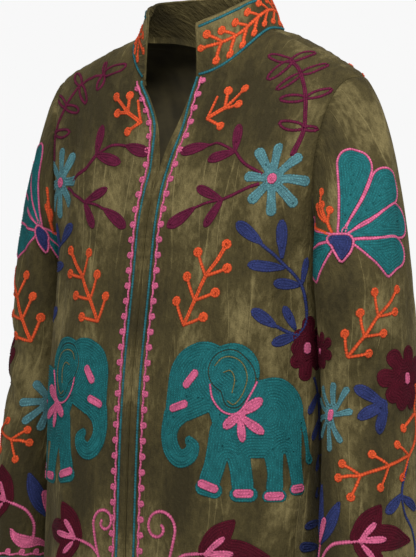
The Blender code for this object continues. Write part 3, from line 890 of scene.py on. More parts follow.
def star():
    """A flower of eight separate petals with a pink middle."""
    table = ((41, 39), (91, 42), (125, 42), (178, 33), (233, 37), (277, 43), (314, 46), (354, 45))
    petals = petals_round(table, 4, 4.6, 6.3)
    return [patch("lagoon", *petals), patch("pink", berry(0, 0, 6.4), level=1)]


def thin_flower():
    """A flower of narrow petals, uneven in length."""
    table = ((79, 38), (52, 39), (8, 28), (290, 33), (262, 41), (226, 34), (186, 35), (148, 36), (113, 36))
    middle = [(0, -3, 4), (0, 3, 4)]
    return [patch("lagoon", *petals_round(table, 3, 2.8, 4.2)), patch("pink", middle, level=1)]


def round_flower(table, wide=10.5):
    """Round petals grown together, with an oval pink middle."""
    middle = [(0, -2.5, 4.4), (0, 2.5, 4.4)]
    return [patch("wine", *petals_round(table, 2, 8, wide)), patch("pink", middle, level=1)]


def loop_branch(end, tips):
    """A stem with pairs of open loops, worked in one row of stitches, and three more loops at its end."""
    spine = [(0, 0, 3.6), (5, 31, 2.7), (-6, 72, 2.5), (-22, 106, 2.5), (*end, 2.5)]
    loops = (
        (4, 31, -26, 40),
        (4, 31, 20, 30),
        (-5, 70, -33, 69),
        (-5, 70, 21, 80),
        (-20, 103, -42, 82),
        (-20, 103, 6, 120),
        *((*end, *tip) for tip in tips),
    )
    found = [patch("burgundy", spine)]
    turn = np.linspace(-np.pi, np.pi, 25)
    along, aside = (1 + np.cos(turn)) / 2, 0.16 * np.sin(turn)
    for x, y, tip_x, tip_y in loops:
        dx, dy = tip_x - x, tip_y - y
        line = np.column_stack([x + along * dx - aside * dy, y + along * dy + aside * dx])
        found.append(thread("burgundy", line, 4.2))
    return found


def navy_branch():
    """A drooping branch with long leaves on its outer side."""
    return [
        patch(
            "navy",
            stem([(-2, 1), (30, -24), (53, -46), (62, -70), (64, -90), (56, -104)], 2.3),
            leaf(2, -1, 143, 38, 15),
            leaf(28, -18, 96, 44, 13),
            leaf(32, -29, 175, 44, 13),
            leaf(52, -48, 176, 31, 13),
            leaf(55, -48, 86, 32, 8),
            stem([(56, -104), (40, -99), (26, -93)], 2.3),
            leaf(27, -94, 147, 34, 14),
            leaf(53, -98, 124, 32, 11),
            leaf(57, -103, 197, 35, 13),
        )
    ]


def elephant():
    """A standing elephant that faces a panel's front edge, with its trunk curled up."""
    floor = stem([(-40, -84), (220, -84)], 82.0)
    ear = [[(76, 143, 23), (86, 133, 21), (84, 114, 12)]]
    head = [(46, 138, 37), (38, 134, 35), (25, 112, 24), (14, 91, 14)]
    trunk = [(12, 92, 14), (7, 73, 11.5), (10, 57, 11), (21, 45, 10.5), (34, 48, 10)]
    trunk += [(39, 58, 8), (34, 65, 5.4)]
    crown = [(64, 146, 22), (82, 145, 28), (90, 132, 20)]
    jaw = [(48, 108, 14), (38, 96, 7), (32, 90, 3.6)]
    chest = [(78, 112, 26), (84, 90, 23), (100, 93, 36), (128, 95, 41)]
    belly = [(90, 74, 23), (114, 70, 23), (140, 74, 23)]
    legs = [
        [(72, 76, 14), (66, 42, 12.5), (60, 22, 12.5)],
        [(52, 14, 9), (66, 11, 9)],
        [(88, 66, 15), (94, 38, 12.5), (97, 18, 12.5)],
        [(91, 7, 8.5), (106, 7, 8.5)],
        [(130, 64, 14), (133, 34, 9.5), (133, 16, 10)],
        [(126, 5, 7), (140, 5, 7)],
        [(154, 72, 14), (158, 42, 9.5), (162, 20, 9.5)],
        [(157, 12, 7), (167, 12, 7)],
    ]
    tail = [(164, 96, 4), (172, 74, 3.2), (176, 54, 3.2), (179, 44, 5.6)]
    rope = [(56, 128), (60, 112), (71, 99), (84, 95), (94, 101), (102, 116), (109, 132)]
    flap = [(60, 148), (68, 157), (80, 158), (92, 151), (98, 136), (94, 118), (85, 106), (77, 110)]
    feet = ([(51, 18), (66, 13)], [(91, 8), (105, 8)], [(126, 5), (139, 5)], [(156, 12), (167, 13)])
    return [
        patch("teal", head, crown, trunk, jaw, chest, belly, *legs, tail, without=[*ear, floor]),
        patch("teal", *ear),
        thread("ochre", flap, 1.5, 1),
        thread("ochre", [(70, 141), (79, 143), (84, 133), (82, 118)], 1.5, 1),
        thread("pink", rope, 2.8, 1),
        patch("pink", [(27, 127, 5), (37, 139, 5)], level=1),
        patch("pink", [(11, 100, 4.6), (26, 105, 4.8)], level=1),
        patch("pink", leaf(91, 95, 35, 30, 13), leaf(92, 94, -36, 34, 11), level=1),
        patch("pink", leaf(92, 94, -82, 30, 10), leaf(92, 96, 223, 23, 12), level=1),
        *(patch("pink", stem(foot, 5.0), level=1) for foot in feet),
    ]


def lily():
    """A flower with three pointed petals, pink stamens and a pink stem."""
    return [
        patch("pink", stem([(2, 0), (-18, -1), (-34, -5), (-50, -20), (-58, -46)], 2.4)),
        patch(
            "wine",
            [(2, 4, 13), (12, 18, 14), (22, 29, 8.5), (30, 38, 1.2)],
            [(10, 2, 14), (34, 2, 14.5), (55, -1, 9), (74, -4, 1.2)],
            [(4, -6, 12), (14, -22, 12), (22, -35, 7), (26, -47, 1.2)],
        ),
        patch("pink", leaf(-2, -1, 42, 31, 7.5), leaf(-4, 0, 1, 36, 8.5), leaf(0, -2, -55, 25, 7), level=1),
    ]


def curl():
    """A pink tendril that ends in a spiral."""
    turn = np.linspace(0, 2.35 * np.pi, 26)
    size = 22.5 - 2.5 * turn
    spiral = np.column_stack([size * np.cos(turn - 0.3), size * np.sin(turn - 0.3)])
    return [thread("pink", [(2, -84), (8, -58), (16, -32), *spiral], 4.4)]


def fan_flower():
    """A half-open flower: teal petals edged in pink, spread from a navy drop."""
    petals = (
        [[(2, 4, 2.5), (11, 22, 5.2), (25, 47, 11.8), (40, 78, 20)]],
        [[(6, 3, 2.5), (23, 15, 5.2), (46, 30, 11.2), (73, 48, 19.5)]],
        [[(8, -3, 2.5), (32, 0, 7), (56, 4, 13), (79, 8, 18)]],
        [
            [(14, -12, 2.5), (36, -20, 9), (66, -26, 14.5), (56, -38, 8), (46, -50, 1.5)],
            [(18, -15, 3.5), (34, -28, 7), (44, -37, 8), (46, -50, 1.5)],
        ],
    )
    middle = [berry(-4, -12, 11)]
    mirrored = [[np.array(stroke) * (-1, 1, 1) for stroke in petal] for petal in petals[2:]]
    found = [patch("teal", *petal, edge="pink", without=middle) for petal in (*petals, *mirrored)]
    drop = [(-8, -7, 6.5), (3, -7, 6.5), (-2, -13, 9.5), (-5, -22, 5.5), (-7, -29, 1.5)]
    return found + [patch("navy", drop, edge="pink", level=1)]


def trefoil():
    """Three navy leaves on one joint."""
    leaves = [leaf(2, 0, angle, length, 14) for angle, length in ((149, 39), (205, 34), (258, 33))]
    return [patch("navy", berry(0, 0, 6), *leaves)]


def tulip():
    """A navy bud of two pointed petals with a pink heart, on a pink stalk."""
    return [
        patch("pink", stem([(0, 4), (-2, -14), (-4, -44)], 2.2)),
        patch(
            "navy",
            [(0, 2, 5), (-7, 20, 10), (-12, 42, 8), (-14, 64, 1.2)],
            [(0, 2, 5), (9, 18, 9), (16, 36, 7.5), (21, 54, 1.2)],
        ),
        patch("pink", [(0, 0, 2.4), (2, 14, 4.6), (4, 26, 4.4)], level=1),
    ]


def drooping(line, leaves):
    """A navy stem with leaves, from rows of (x, y, angle, length, width)."""
    return [patch("navy", stem(line, 2.2), *(leaf(*row) for row in leaves))]


def vine():
    """The long navy vine beside the side seam."""
    line = [(-10, 18), (0, 0), (8, -28), (14, -69), (17, -102), (22, -144), (19, -180), (12, -222)]
    pairs = [(x, y, angle, 28, 9.5) for x, y in ((0, 0), (8, -29)) for angle in (238, 312)]
    lone = [(14, -66, 246, 24, 8.5), (15, -70, 302, 22, 8), (17, -100, 242, 20, 8.5)]
    level = [(22, -144, 189, 32, 10), (19, -172, 178, 38, 12), (18, -186, 320, 26, 10)]
    return drooping(line, pairs + lone + level)


def collar_branch():
    """A stem along the collar with berries above and below it."""
    nodes = [(14 + 18.5 * k, 29 + 2.5 * math.sin(1.1 * k + 2)) for k in range(12)]
    strokes = [stem([(5, 30)] + nodes, 2.3), berry(5, 31, 4.6)]
    for x, y in nodes[1:]:
        strokes += [stem([(x, y), (x - 9, y + 8), (x - 20, y + 16)], 2.3), berry(x - 20, y + 16, 5.4)]
        strokes += [stem([(x - 2, y), (x - 6, y - 9), (x - 8, y - 18)], 2.3), berry(x - 8, y - 18, 5.2)]
    return [patch("orange", *strokes)]


def pink_leaf():
    """A curved pink leaf."""
    return [patch("pink", [(0, 0, 2), (14, 6, 4.5), (32, 6, 8), (46, 12, 5), (54, 22, 1.2)])]


ROUND = ((79, 37), (130, 40), (176, 43), (216, 38), (252, 37), (296, 38), (341, 40), (30, 39))
NARROW = ((90, 36), (128, 25), (178, 20), (230, 27), (270, 37), (315, 32), (0, 28), (45, 32))
MOTIFS = {
    "sprig": lambda: sprig(3),
    "short sprig": lambda: sprig(2),
    "long sprig": lambda: sprig(3, 1.35, 0.68),
    "neck sprig": neck_sprig,
    "bud": lambda: coral_twigs(
        (
            [(-8, 0), (-10, 16), (-4, 31)],
            [(-10, 16), (-14, 30), (-15, 40)],
            [(-10, 16), (-20, 36), (-15, 56)],
            [(-10, 16), (-22, 26), (-30, 38)],
            [(-10, 0), (-24, 8), (-42, 16)],
        )
    ),
    "twig": lambda: coral_twigs(
        ([(0, 0), (15, 18), (22, 44), (12, 42), (-6, 31)], [(22, 44), (24, 60), (22, 76)])
    ),
    "upper spray": lambda: leaf_spray(
        ((97, 33, 12), (196, 35, 13), (196, 33, 14)), [(-23, 10), (-40, 9)], [(14, -14), (38, -27)]
    ),
    "lower spray": lambda: leaf_spray(
        ((157, 40, 12), (239, 36, 12), (212, 40, 15)), [(-18, -3), (-35, -9)], [(22, 10), (42, 18)]
    ),
    "star": star,
    "thin flower": thin_flower,
    "flower": lambda: round_flower(ROUND),
    "narrow flower": lambda: round_flower(NARROW, 8.5),
    "loop branch": lambda: loop_branch((-36, 121), ((-57, 95), (-65, 128), (-17, 143))),
    "long loop branch": lambda: loop_branch((-53, 127), ((-57, 103), (-88, 144), (-47, 144))),
    "navy branch": navy_branch,
    "elephant": elephant,
    "lily": lily,
    "curl": curl,
    "fan flower": fan_flower,
    "trefoil": trefoil,
    "tulip": tulip,
    "vine": vine,
    "shoot": lambda: drooping(
        [(0, 38), (-12, 0), (-6, -22), (12, -50), (20, -90)],
        ((-12, 2, 216, 32, 12), (-12, 0, -28, 34, 12)),
    ),
    "collar branch": collar_branch,
    "pink leaf": pink_leaf,
}


def spots(*rows):
    """Places for motifs, in millimetres across and up a piece, from rows of a spot's fields."""
    return [Spot(*row) for row in rows]


ON_FRONT = spots(
    ("lower spray", 97, 525), ("star", 153, 550), ("navy branch", 147, 477), ("narrow flower", 215, 359),
    ("vine", 237, 309), ("short sprig", 120, 44, -10, 0.8), ("upper spray", 204, 74, -20, 0.9),
)
ON_FRONT_LEFT = ON_FRONT + spots(
    ("neck sprig", 55, 621), ("upper spray", 103, 581), ("loop branch", 172, 576), ("sprig", 63, 384),
    ("elephant", 47, 191), ("curl", 44, 158), ("lily", 108, 132),
)
ON_FRONT_RIGHT = ON_FRONT + spots(
    ("neck sprig", 22, 619, -8, 1.05), ("upper spray", 84, 581, 0, 1.1),
    ("long loop branch", 174, 578, 13, 0.97), ("sprig", 59, 387, -10), ("elephant", 40, 194, 3.5, 0.98),
    ("curl", 31, 160, 0, 0.75), ("lily", 76, 139, 10, 0.95),
)
ON_BACK = spots(
    ("elephant", 44, 192), ("sprig", 60, 392), ("star", 150, 565, 20), ("upper spray", 98, 600, 10),
    ("lower spray", 98, 530), ("navy branch", 147, 479), ("lily", 104, 124), ("curl", 42, 156),
    ("vine", 240, 316), ("short sprig", 118, 664, -50, 0.8), ("upper spray", 204, 66, -20, 0.9),
)
ON_MIDDLE_BACK = spots(
    ("flower", 0, 620, 0, 0.95), ("star", 0, 470, 22, 0.8), ("flower", 0, 74, 0, 0.75),
)
ON_SLEEVE_BACK = spots(
    ("star", 176, 410, 0, 0.95), ("loop branch", 128, 330, -20, 0.8), ("short sprig", 150, 238, 10, 0.9),
    ("thin flower", 128, 190, 0, 0.95), ("lily", 118, 84, 150, 0.9, -1),
    ("upper spray", 150, 500, 20, 1, -1),
)
ON_SLEEVE_LEFT = ON_SLEEVE_BACK + spots(
    ("bud", -46, 412), ("fan flower", -46, 412), ("sprig", -46, 274, -14, 0.9), ("flower", 29, 246),
    ("trefoil", -7, 220), ("thin flower", -69, 210), ("long sprig", 30, 161, 127, 0.88),
    ("twig", 30, 160), ("lily", -45, 72), ("tulip", -98, 70, -16), ("shoot", 28, 117),
    ("flower", -88, 282, 0, 0.6),
)
ON_SLEEVE_RIGHT = ON_SLEEVE_BACK + spots(
    ("bud", -98, 424), ("fan flower", -74, 424, 12, 0.95), ("sprig", -67, 285, -8), ("flower", 4, 262),
    ("star", -105, 214, 0, 0.88), ("long sprig", 2, 182, 127, 0.88), ("lily", -76, 91, 14, 0.95),
    ("tulip", -134, 73, -12, 1.1), ("pink leaf", -142, 35, 2), ("shoot", 12, 117),
)

PICOT_STEP = 17.5
PICOT = 4.3  # half the width of a picot
PICOT_ENDS = (6, 4)  # from the ends of a border to its first picot, and at least to its last
PICOT_LINE = 3.2  # from the middles of picots back to the wavy line that joins them
PICOT_WAVE = 0.7
PICOT_LINE_WIDTH = 3.2
CORD_WIDTH = 3.8
COLLAR_CORD_WIDTH = 3.6
NEARER = 9.0  # how much nearer to a front edge its border comes at the neck
NEARER_OVER = 75.0
NEARER_FROM = {"left": 590, "right": 555}  # up from the hem
EDGE_CORD = 10.8  # from a front edge to its cord, and to the middles of its picots
EDGE_PICOT = 19.5
HEM_CORD = 22
HEM_PICOT = 30
FRONT_BORDER = (26, 262)  # from where to where a hem's or a cuff's border runs across its piece
BACK_BORDER = (-266, 266)
CUFF_BORDER = (-168, 168)
COLLAR_CORDS = ((0, 2.2), (-1, -4.5))  # a row of the collar's points, and how far up from it a cord runs


def reshaped(items, put):
    """Drawn items with each stroke and line changed by one function."""
    found = []
    for item in items:
        if isinstance(item, Patch):
            strokes, without = ([put(rows) for rows in part] for part in (item.strokes, item.without))
            found.append(item._replace(strokes=strokes, without=without))
        else:
            found.append(item._replace(points=put(item.points)))
    return found


def moved(items, across, up, turn=0, size=1, flip=1):
    """Drawn items turned, sized, mirrored and moved to a place."""
    way = math.radians(turn)
    spin = np.array([[math.cos(way), math.sin(way)], [-math.sin(way), math.cos(way)]]) * size
    spin = np.diag([flip, 1]) @ spin

    def put(rows):
        return np.column_stack([rows[:, :2] @ spin + (across, up), rows[:, 2:] * size])

    return reshaped(items, put)


def drawn(places):
    """All the items of a table of spots."""
    return [item for spot in places for item in moved(MOTIFS[spot.motif](), *spot[1:])]


def border(first, last, cord=HEM_CORD, picots=HEM_PICOT):
    """A cord and a line of round picots along a hem, a cuff or a front edge."""
    across = np.arange(first, last, 2.0)
    wave = picots - PICOT_LINE + PICOT_WAVE * np.cos(2 * np.pi * across / PICOT_STEP)
    middles = np.arange(first + PICOT_ENDS[0], last - PICOT_ENDS[1], PICOT_STEP)
    return [
        thread("cord", np.column_stack([across, np.full(len(across), cord)]), CORD_WIDTH),
        thread("pink", np.column_stack([across, wave]), PICOT_LINE_WIDTH),
        patch("pink", *(berry(at, picots, PICOT) for at in middles)),
    ]


def upright(items, nearer_from):
    """Items turned to run up an edge, and brought nearer to it from a height to the neck."""

    def put(rows):
        across = rows[:, 1] - NEARER * eased((rows[:, 0] - nearer_from) / NEARER_OVER)
        return np.column_stack([across, rows[:, 0], rows[:, 2:]])

    return reshaped(items, put)


# Rows of chain stitch

# For the corners that lie inside a cell, as a sum of 1, 2, 4 and 8, which of its sides a line joins
SIDES = ((), ((0, 3),), ((1, 0),), ((1, 3),), ((2, 1),), ((0, 3), (2, 1)), ((2, 0),), ((2, 3),))
SIDES += (((3, 2),), ((0, 2),), ((1, 0), (3, 2)), ((1, 2),), ((3, 1),), ((0, 1),), ((3, 0),))


def outlines(value):
    """Closed lines, in cells across and up, where a grid of values passes 0."""
    on = value > 0
    code = on[:-1, :-1] + 2 * on[:-1, 1:] + 4 * on[1:, 1:] + 8 * on[1:, :-1]
    rows, columns = np.nonzero((code > 0) & (code < 15))
    width, after = value.shape[1], {}
    for r, c, k in zip(rows.tolist(), columns.tolist(), code[rows, columns].tolist()):
        here = 2 * (r * width + c)
        sides = (here, here + 3, here + 2 * width, here + 1)
        for a, b in SIDES[k]:
            after[sides[a]] = sides[b]
    found = []
    while after:
        first, line = next(iter(after)), []
        here = first
        while here in after:
            line.append(here)
            here = after.pop(here)
        line = np.array(line)
        r, c = np.divmod(line // 2, width)
        upward = line % 2
        start, end = value[r, c], value[r + upward, c + 1 - upward]
        share = start / np.where(start == end, 1, start - end)
        found.append(np.column_stack([c + share * (1 - upward), r + share * upward]))
    return found


def how_far_in(strokes, x, y):
    """How far each place lies inside a union of strokes, below 0 outside."""
    discs = np.concatenate([curve(stroke) for stroke in strokes])
    found = np.full(x.shape, -1e6)
    for part in np.array_split(discs, max(1, len(discs) // DISCS_AT_ONCE)):
        away = np.hypot(x[..., None] - part[:, 0], y[..., None] - part[:, 1])
        found = np.maximum(found, (part[:, 2] - away).max(axis=-1))
    return found


def worked(item):
    """A patch as (its lines of stitches, the corners of its filling's cells, where their grid starts)."""
    lines = [curve(stroke) for stroke in item.strokes if stroke[:, 2].max() <= ONE_ROW]
    rows = [(item.colour, line[:, :2], 2 * line[:, 2].max(), False) for line in lines]
    strokes = [stroke for stroke in item.strokes if stroke[:, 2].max() > ONE_ROW]
    if not strokes:
        return rows, np.empty((0, 4, 2), int), np.zeros(2)
    discs = np.concatenate([curve(stroke) for stroke in strokes])
    low = (discs[:, :2] - discs[:, 2:]).min(axis=0) - AROUND
    high = (discs[:, :2] + discs[:, 2:]).max(axis=0) + AROUND
    x, y = np.meshgrid(np.arange(low[0], high[0], CELL), np.arange(low[1], high[1], CELL))
    value = how_far_in(strokes, x, y)
    if item.without:
        value = np.minimum(value, -CUT_GAP - how_far_in(item.without, x, y))
    rim = np.concatenate(outlines(value)) * CELL + low
    depth, within = np.zeros(value.shape), value > 0
    places = np.column_stack([x[within], y[within]])
    parts = np.array_split(places, len(places) * len(rim) // PAIRS_AT_ONCE + 1)
    near = [np.sqrt(((part[:, None] - rim) ** 2).sum(axis=2).min(axis=1)) for part in parts]
    depth[within] = np.concatenate(near)
    for level in np.arange(ROW / 2, depth.max(), ROW):
        rows += [(item.colour, line * CELL + low, ROW_WIDTH, True) for line in outlines(depth - level)]
    if item.edge:
        rows += [(item.edge, line * CELL + low, EDGE_ROW, True) for line in outlines(value + EDGE_OUT)]
    inside = depth[::FILL_CELLS, ::FILL_CELLS] > FILL_INSET
    r, c = np.nonzero(inside[:-1, :-1] & inside[:-1, 1:] & inside[1:, 1:] & inside[1:, :-1])
    corners = np.stack([np.column_stack([c + j, r + i]) for i, j in RING], axis=1)
    return rows, corners, low


class Stitching:
    """All the stitches on one panel, gathered into one mesh."""

    def __init__(self, surface):
        self.surface = surface
        self.points, self.quads, self.flat, self.which, self.height = [], [], [], [], []
        self.count = 0

    def take(self, points, normals, height, quads, flat, colour):
        """Faces, turned to face outward, with each point's share of painted light, from how high in its link
        of thread it lies.
        """
        a, b, c = (points[quads[:, k]] for k in range(3))
        inward = (np.cross(b - a, c - a) * normals[quads[:, 0]]).sum(axis=1) < 0
        quads = np.where(inward[:, None], quads[:, ::-1], quads)
        flat = np.where(inward[:, None, None], flat[:, ::-1], flat)
        self.points.append(points)
        self.height.append(height)
        self.quads.append(quads + self.count)
        self.flat.append(flat)
        self.which.append(np.full(len(quads), THREADS.index(colour)))
        self.count += len(points)

    def line(self, colour, places, width, level, closed):
        """One line of chain stitch, cut where it leaves the panel."""
        if closed:
            places = np.concatenate([places, places[:1]])
        length = distances(places)[-1]
        if length < SHORTEST:
            return
        places = evenly(places, 2 * max(3, round(length / STITCH)) + 1)
        on = self.surface.inside(places)
        if on.all():
            self.ribbon(colour, places, width, level)
            return
        edges = np.flatnonzero(np.diff(np.concatenate([[0], on.astype(int), [0]])))
        for start, end in edges.reshape(-1, 2):
            if end - start > 3:
                self.ribbon(colour, places[start:end], width, level)

    def ribbon(self, colour, places, width, level):
        """Links of thread along a line: narrow and low where they join, wide and high between."""
        points, normals = self.surface.at(places)
        run = np.gradient(points, axis=0)
        if np.allclose(points[0], points[-1]):
            run[0] = run[-1] = points[1] - points[-2]
        run /= np.maximum(np.linalg.norm(run, axis=1), 1e-9)[:, None]
        side = np.cross(normals, run)
        count = len(places)
        joint = np.arange(count) % 2 == 0
        wobble = np.sin(np.arange(count) * 2.4 + self.count) * np.cos(self.count * 0.7)
        uneven = 1 + STITCH_UNEVENNESS * wobble
        half = (np.where(joint, JOINT_WIDTH, 1.0) * uneven)[:, None] * width / 2000
        arch = np.where(joint, JOINT_CROWN, 1.0)[:, None]
        crown = ROW_LIFT + (ROW_CROWN - ROW_LIFT) * min(CROWN_MOST, width / ROW_WIDTH) * arch
        lift = level * LEVEL_LIFT
        top = points + normals * (crown + lift) / 1000
        low = points + normals * (ROW_LIFT + lift) / 1000
        rows = np.stack([low + side * half, top, low - side * half], axis=1)
        k = np.arange(count - 1)[:, None] * 3 + np.arange(2)
        quads = np.stack([k, k + 3, k + 4, k + 1], axis=-1).reshape(-1, 4)
        along = np.arange(count) * STITCH / 2000
        v = np.stack([along[:-1], along[1:], along[1:], along[:-1]], axis=-1)[:, None].repeat(2, axis=1)
        u = np.array([[0, 0, 1, 1], [1, 1, 2, 2]]) * width / 2000 + np.zeros((count - 1, 2, 4))
        flat = np.stack([u, v], axis=-1).reshape(-1, 4, 2)
        # Painted light: full on a link's crown, less at its joints, and painted shade on its sides
        height = arch * (SIDE_PAINTED_LIGHT, 1.0, SIDE_PAINTED_LIGHT) * uneven[:, None]
        self.take(rows.reshape(-1, 3), normals.repeat(3, axis=0), height.ravel(), quads, flat, colour)

    def filling(self, colour, corners, low, level):
        """The low ground of thread between and under the rows."""
        if not len(corners):
            return
        keys, back = np.unique(corners.reshape(-1, 2), axis=0, return_inverse=True)
        places = keys * (CELL * FILL_CELLS) + low
        on = self.surface.inside(places)
        quads = back.reshape(-1, 4)
        quads = quads[on[quads].all(axis=1)]
        if not len(quads):
            return
        points, normals = self.surface.at(places)
        points = points + normals * (FILL_LIFT + level * LEVEL_LIFT) / 1000
        # The filling is painted in shade, with a fixed share of a link's light
        self.take(points, normals, np.full(len(points), FILL_PAINTED_LIGHT), quads, places[quads] / 1000, colour)

    def work(self, items):
        """Patches and threads, in order."""
        for item in items:
            if isinstance(item, Thread):
                self.line(item.colour, curve(item.points), item.width, item.level, closed=False)
                continue
            rows, corners, low = worked(item)
            for colour, places, width, closed in rows:
                self.line(colour, places, width, item.level, closed)
            self.filling(item.colour, corners, low, item.level)

    def sewn(self, name, threads):
        """The stitches as one object, with a material for each colour of thread."""
        looks = [thread_look(colour, getattr(threads, colour)) for colour in THREADS]
        parts = (self.points, self.quads, self.flat, self.which, self.height)
        points, quads, flat, which, height = map(np.concatenate, parts)
        add_piece(name, points, quads, flat, looks, which, sharp=180, height=height)


# Materials


def linear(code):
    """A linear colour from an sRGB hex value."""
    parts = [int(code[k : k + 2], 16) / 255 for k in (0, 2, 4)]
    return tuple(part / 12.92 if part <= 0.04045 else ((part + 0.055) / 1.055) ** 2.4 for part in parts)


def opaque(colour, bright=1.0):
    """A colour made brighter or darker, with an alpha of 1."""
    return (*(min(1.0, bright * part) for part in colour), 1.0)


def made_look(name, paint, *colours):
    """The material of this name: made by its function the first time, and found after that."""
    found = bpy.data.materials.get(name)
    if not found:
        found = bpy.data.materials.new(name)
        found.use_nodes = True
        paint(found.node_tree, found.node_tree.nodes["Principled BSDF"], *colours)
    return found


def fill(tree, node, links=(), values=()):
    """A node's sockets: their values, and what is linked to them."""
    for name, value in dict(values).items():
        node.inputs[name].default_value = value
    for name, source in dict(links).items():
        tree.links.new(source, node.inputs[name])


def add(tree, kind, links=(), values=(), **settings):
    """A new node with its settings, its sockets' values and what is linked to them."""
    node = tree.nodes.new(kind)
    for name, value in settings.items():
        setattr(node, name, value)
    fill(tree, node, links, values)
    return node


def velvet(tree, shader, cloth):
    """Cotton pile, cut and then crushed: soft lighter and darker patches that lie at random like the pile and
    are painted as shade and sheen, crossed by thin crush lines painted lighter as highlights.
    """
    flat = add(tree, "ShaderNodeUVMap", uv_map="Cloth").outputs["UV"]
    # Patches 60 to 140 mm across where the pile lies one way, placed at random and painted lighter or darker
    # in painted sheen and painted shade
    places = add(tree, "ShaderNodeMapping", {"Vector": flat}, {"Scale": (16, 7, 1), "Location": (3, 7, 0)})
    grown = {"Scale": 1.0, "Detail": 2.0, "Roughness": 0.45}
    patches = add(tree, "ShaderNodeTexNoise", {"Vector": places.outputs[0]}, grown).outputs["Fac"]
    # Crush marks 6 by 12 mm, which mottle each patch
    places = add(tree, "ShaderNodeMapping", {"Vector": flat}, {"Scale": (160, 80, 1)})
    grown = {"Scale": 1.0, "Detail": 4.0, "Roughness": 0.6}
    marks = add(tree, "ShaderNodeTexNoise", {"Vector": places.outputs[0]}, grown).outputs["Fac"]
    # Tufts of pile, 1.4 mm across, drawn coarser than the 0.5 mm real ones so that they show
    pile = add(tree, "ShaderNodeTexNoise", {"Vector": flat}, {"Scale": 700.0, "Detail": 2.0}).outputs["Fac"]
    # Thin crush lines, 15 to 40 mm apart, where the pile stands on edge and catches the light: a painted
    # highlight in the colour, and a ridge in the bump
    places = add(tree, "ShaderNodeMapping", {"Vector": flat}, {"Scale": (34, 2.2, 1), "Location": (1, 2, 0)})
    grown = {"Scale": 1.0, "Detail": 1.5, "Distortion": 0.4}
    lines = add(tree, "ShaderNodeTexNoise", {"Vector": places.outputs[0]}, grown).outputs["Fac"]
    off = add(tree, "ShaderNodeMath", {0: lines}, {1: 0.5}, operation="SUBTRACT").outputs[0]
    near = add(tree, "ShaderNodeMath", {0: off}, operation="ABSOLUTE").outputs[0]
    thin = {"From Max": 0.014, "To Min": 1.0, "To Max": 0.0}
    thin = add(tree, "ShaderNodeMapRange", {"Value": near}, thin).outputs[0]
    # The lines show on the lighter patches alone
    some = {"From Min": 0.38, "From Max": 0.56}
    some = add(tree, "ShaderNodeMapRange", {"Value": patches}, some).outputs[0]
    ridge_and_highlight = add(tree, "ShaderNodeMath", {0: thin, 1: some}, operation="MULTIPLY").outputs[0]
    tone = add(tree, "ShaderNodeMath", {0: marks, 2: patches}, {1: 0.36}, operation="MULTIPLY_ADD").outputs[0]
    # Painted highlight: the crush lines lift the tone toward the sheen colour
    tone = add(tree, "ShaderNodeMath", {0: ridge_and_highlight, 2: tone}, {1: 0.17}, operation="MULTIPLY_ADD").outputs[0]
    share = add(tree, "ShaderNodeMapRange", {"Value": tone}, {"From Min": 0.53, "From Max": 0.86}).outputs[0]
    # The ramp paints shade at its dark end and sheen at its light end, round the velvet's own colour
    ramp = add(tree, "ShaderNodeValToRGB", {"Fac": share})
    stops = ramp.color_ramp.elements
    stops[0].color, stops[1].color = opaque(cloth.shade), opaque(cloth.sheen)
    stops.new(0.5).color = opaque(cloth.velvet)
    grain = {"From Min": 0.3, "From Max": 0.7, "To Min": 0.8, "To Max": 1.2}
    grain = add(tree, "ShaderNodeMapRange", {"Value": pile}, grain).outputs[0]
    colour = {0: ramp.outputs["Color"], 1: grain}
    colour = add(tree, "ShaderNodeVectorMath", colour, operation="MULTIPLY").outputs[0]
    # The pile's relief: crush marks and lines, with the tufts on top
    raised = add(tree, "ShaderNodeMath", {0: ridge_and_highlight, 2: marks}, {1: 0.25}, operation="MULTIPLY_ADD").outputs[0]
    soft = add(tree, "ShaderNodeBump", {"Height": raised}, {"Strength": 0.8, "Distance": 0.004}).outputs[0]
    fine = {"Strength": 0.4, "Distance": 0.0006}
    fine = add(tree, "ShaderNodeBump", {"Height": pile, "Normal": soft}, fine).outputs[0]
    matt = {"Roughness": 0.85, "Specular IOR Level": 0.15}
    sheen = {"Sheen Weight": 0.35, "Sheen Roughness": 0.35, "Sheen Tint": opaque(cloth.sheen)}
    fill(tree, shader, {"Base Color": colour, "Normal": fine}, {**matt, **sheen})


def backing(tree, shader, cloth):
    """The velvet's wrong side: plain woven cotton, flat and dull, with a fine crosswise grain."""
    flat = add(tree, "ShaderNodeUVMap", uv_map="Cloth").outputs["UV"]
    # Threads are 0.5 mm apart in the real cloth, and drawn 1.2 mm apart so that they show
    weave = add(tree, "ShaderNodeTexChecker", {"Vector": flat}, {"Scale": 830.0}).outputs["Fac"]
    cloud = add(tree, "ShaderNodeTexNoise", {"Vector": flat}, {"Scale": 40.0, "Detail": 3.0}).outputs["Fac"]
    ramp = add(tree, "ShaderNodeValToRGB", {"Fac": cloud})
    stops = ramp.color_ramp.elements
    stops[0].position, stops[0].color = 0.35, opaque(cloth.shade)
    stops[1].position, stops[1].color = 0.7, opaque(cloth.velvet)
    bump = add(tree, "ShaderNodeBump", {"Height": weave}, {"Strength": 0.3, "Distance": 0.0003}).outputs[0]
    fill(tree, shader, {"Base Color": ramp.outputs["Color"], "Normal": bump}, {"Roughness": 0.95})


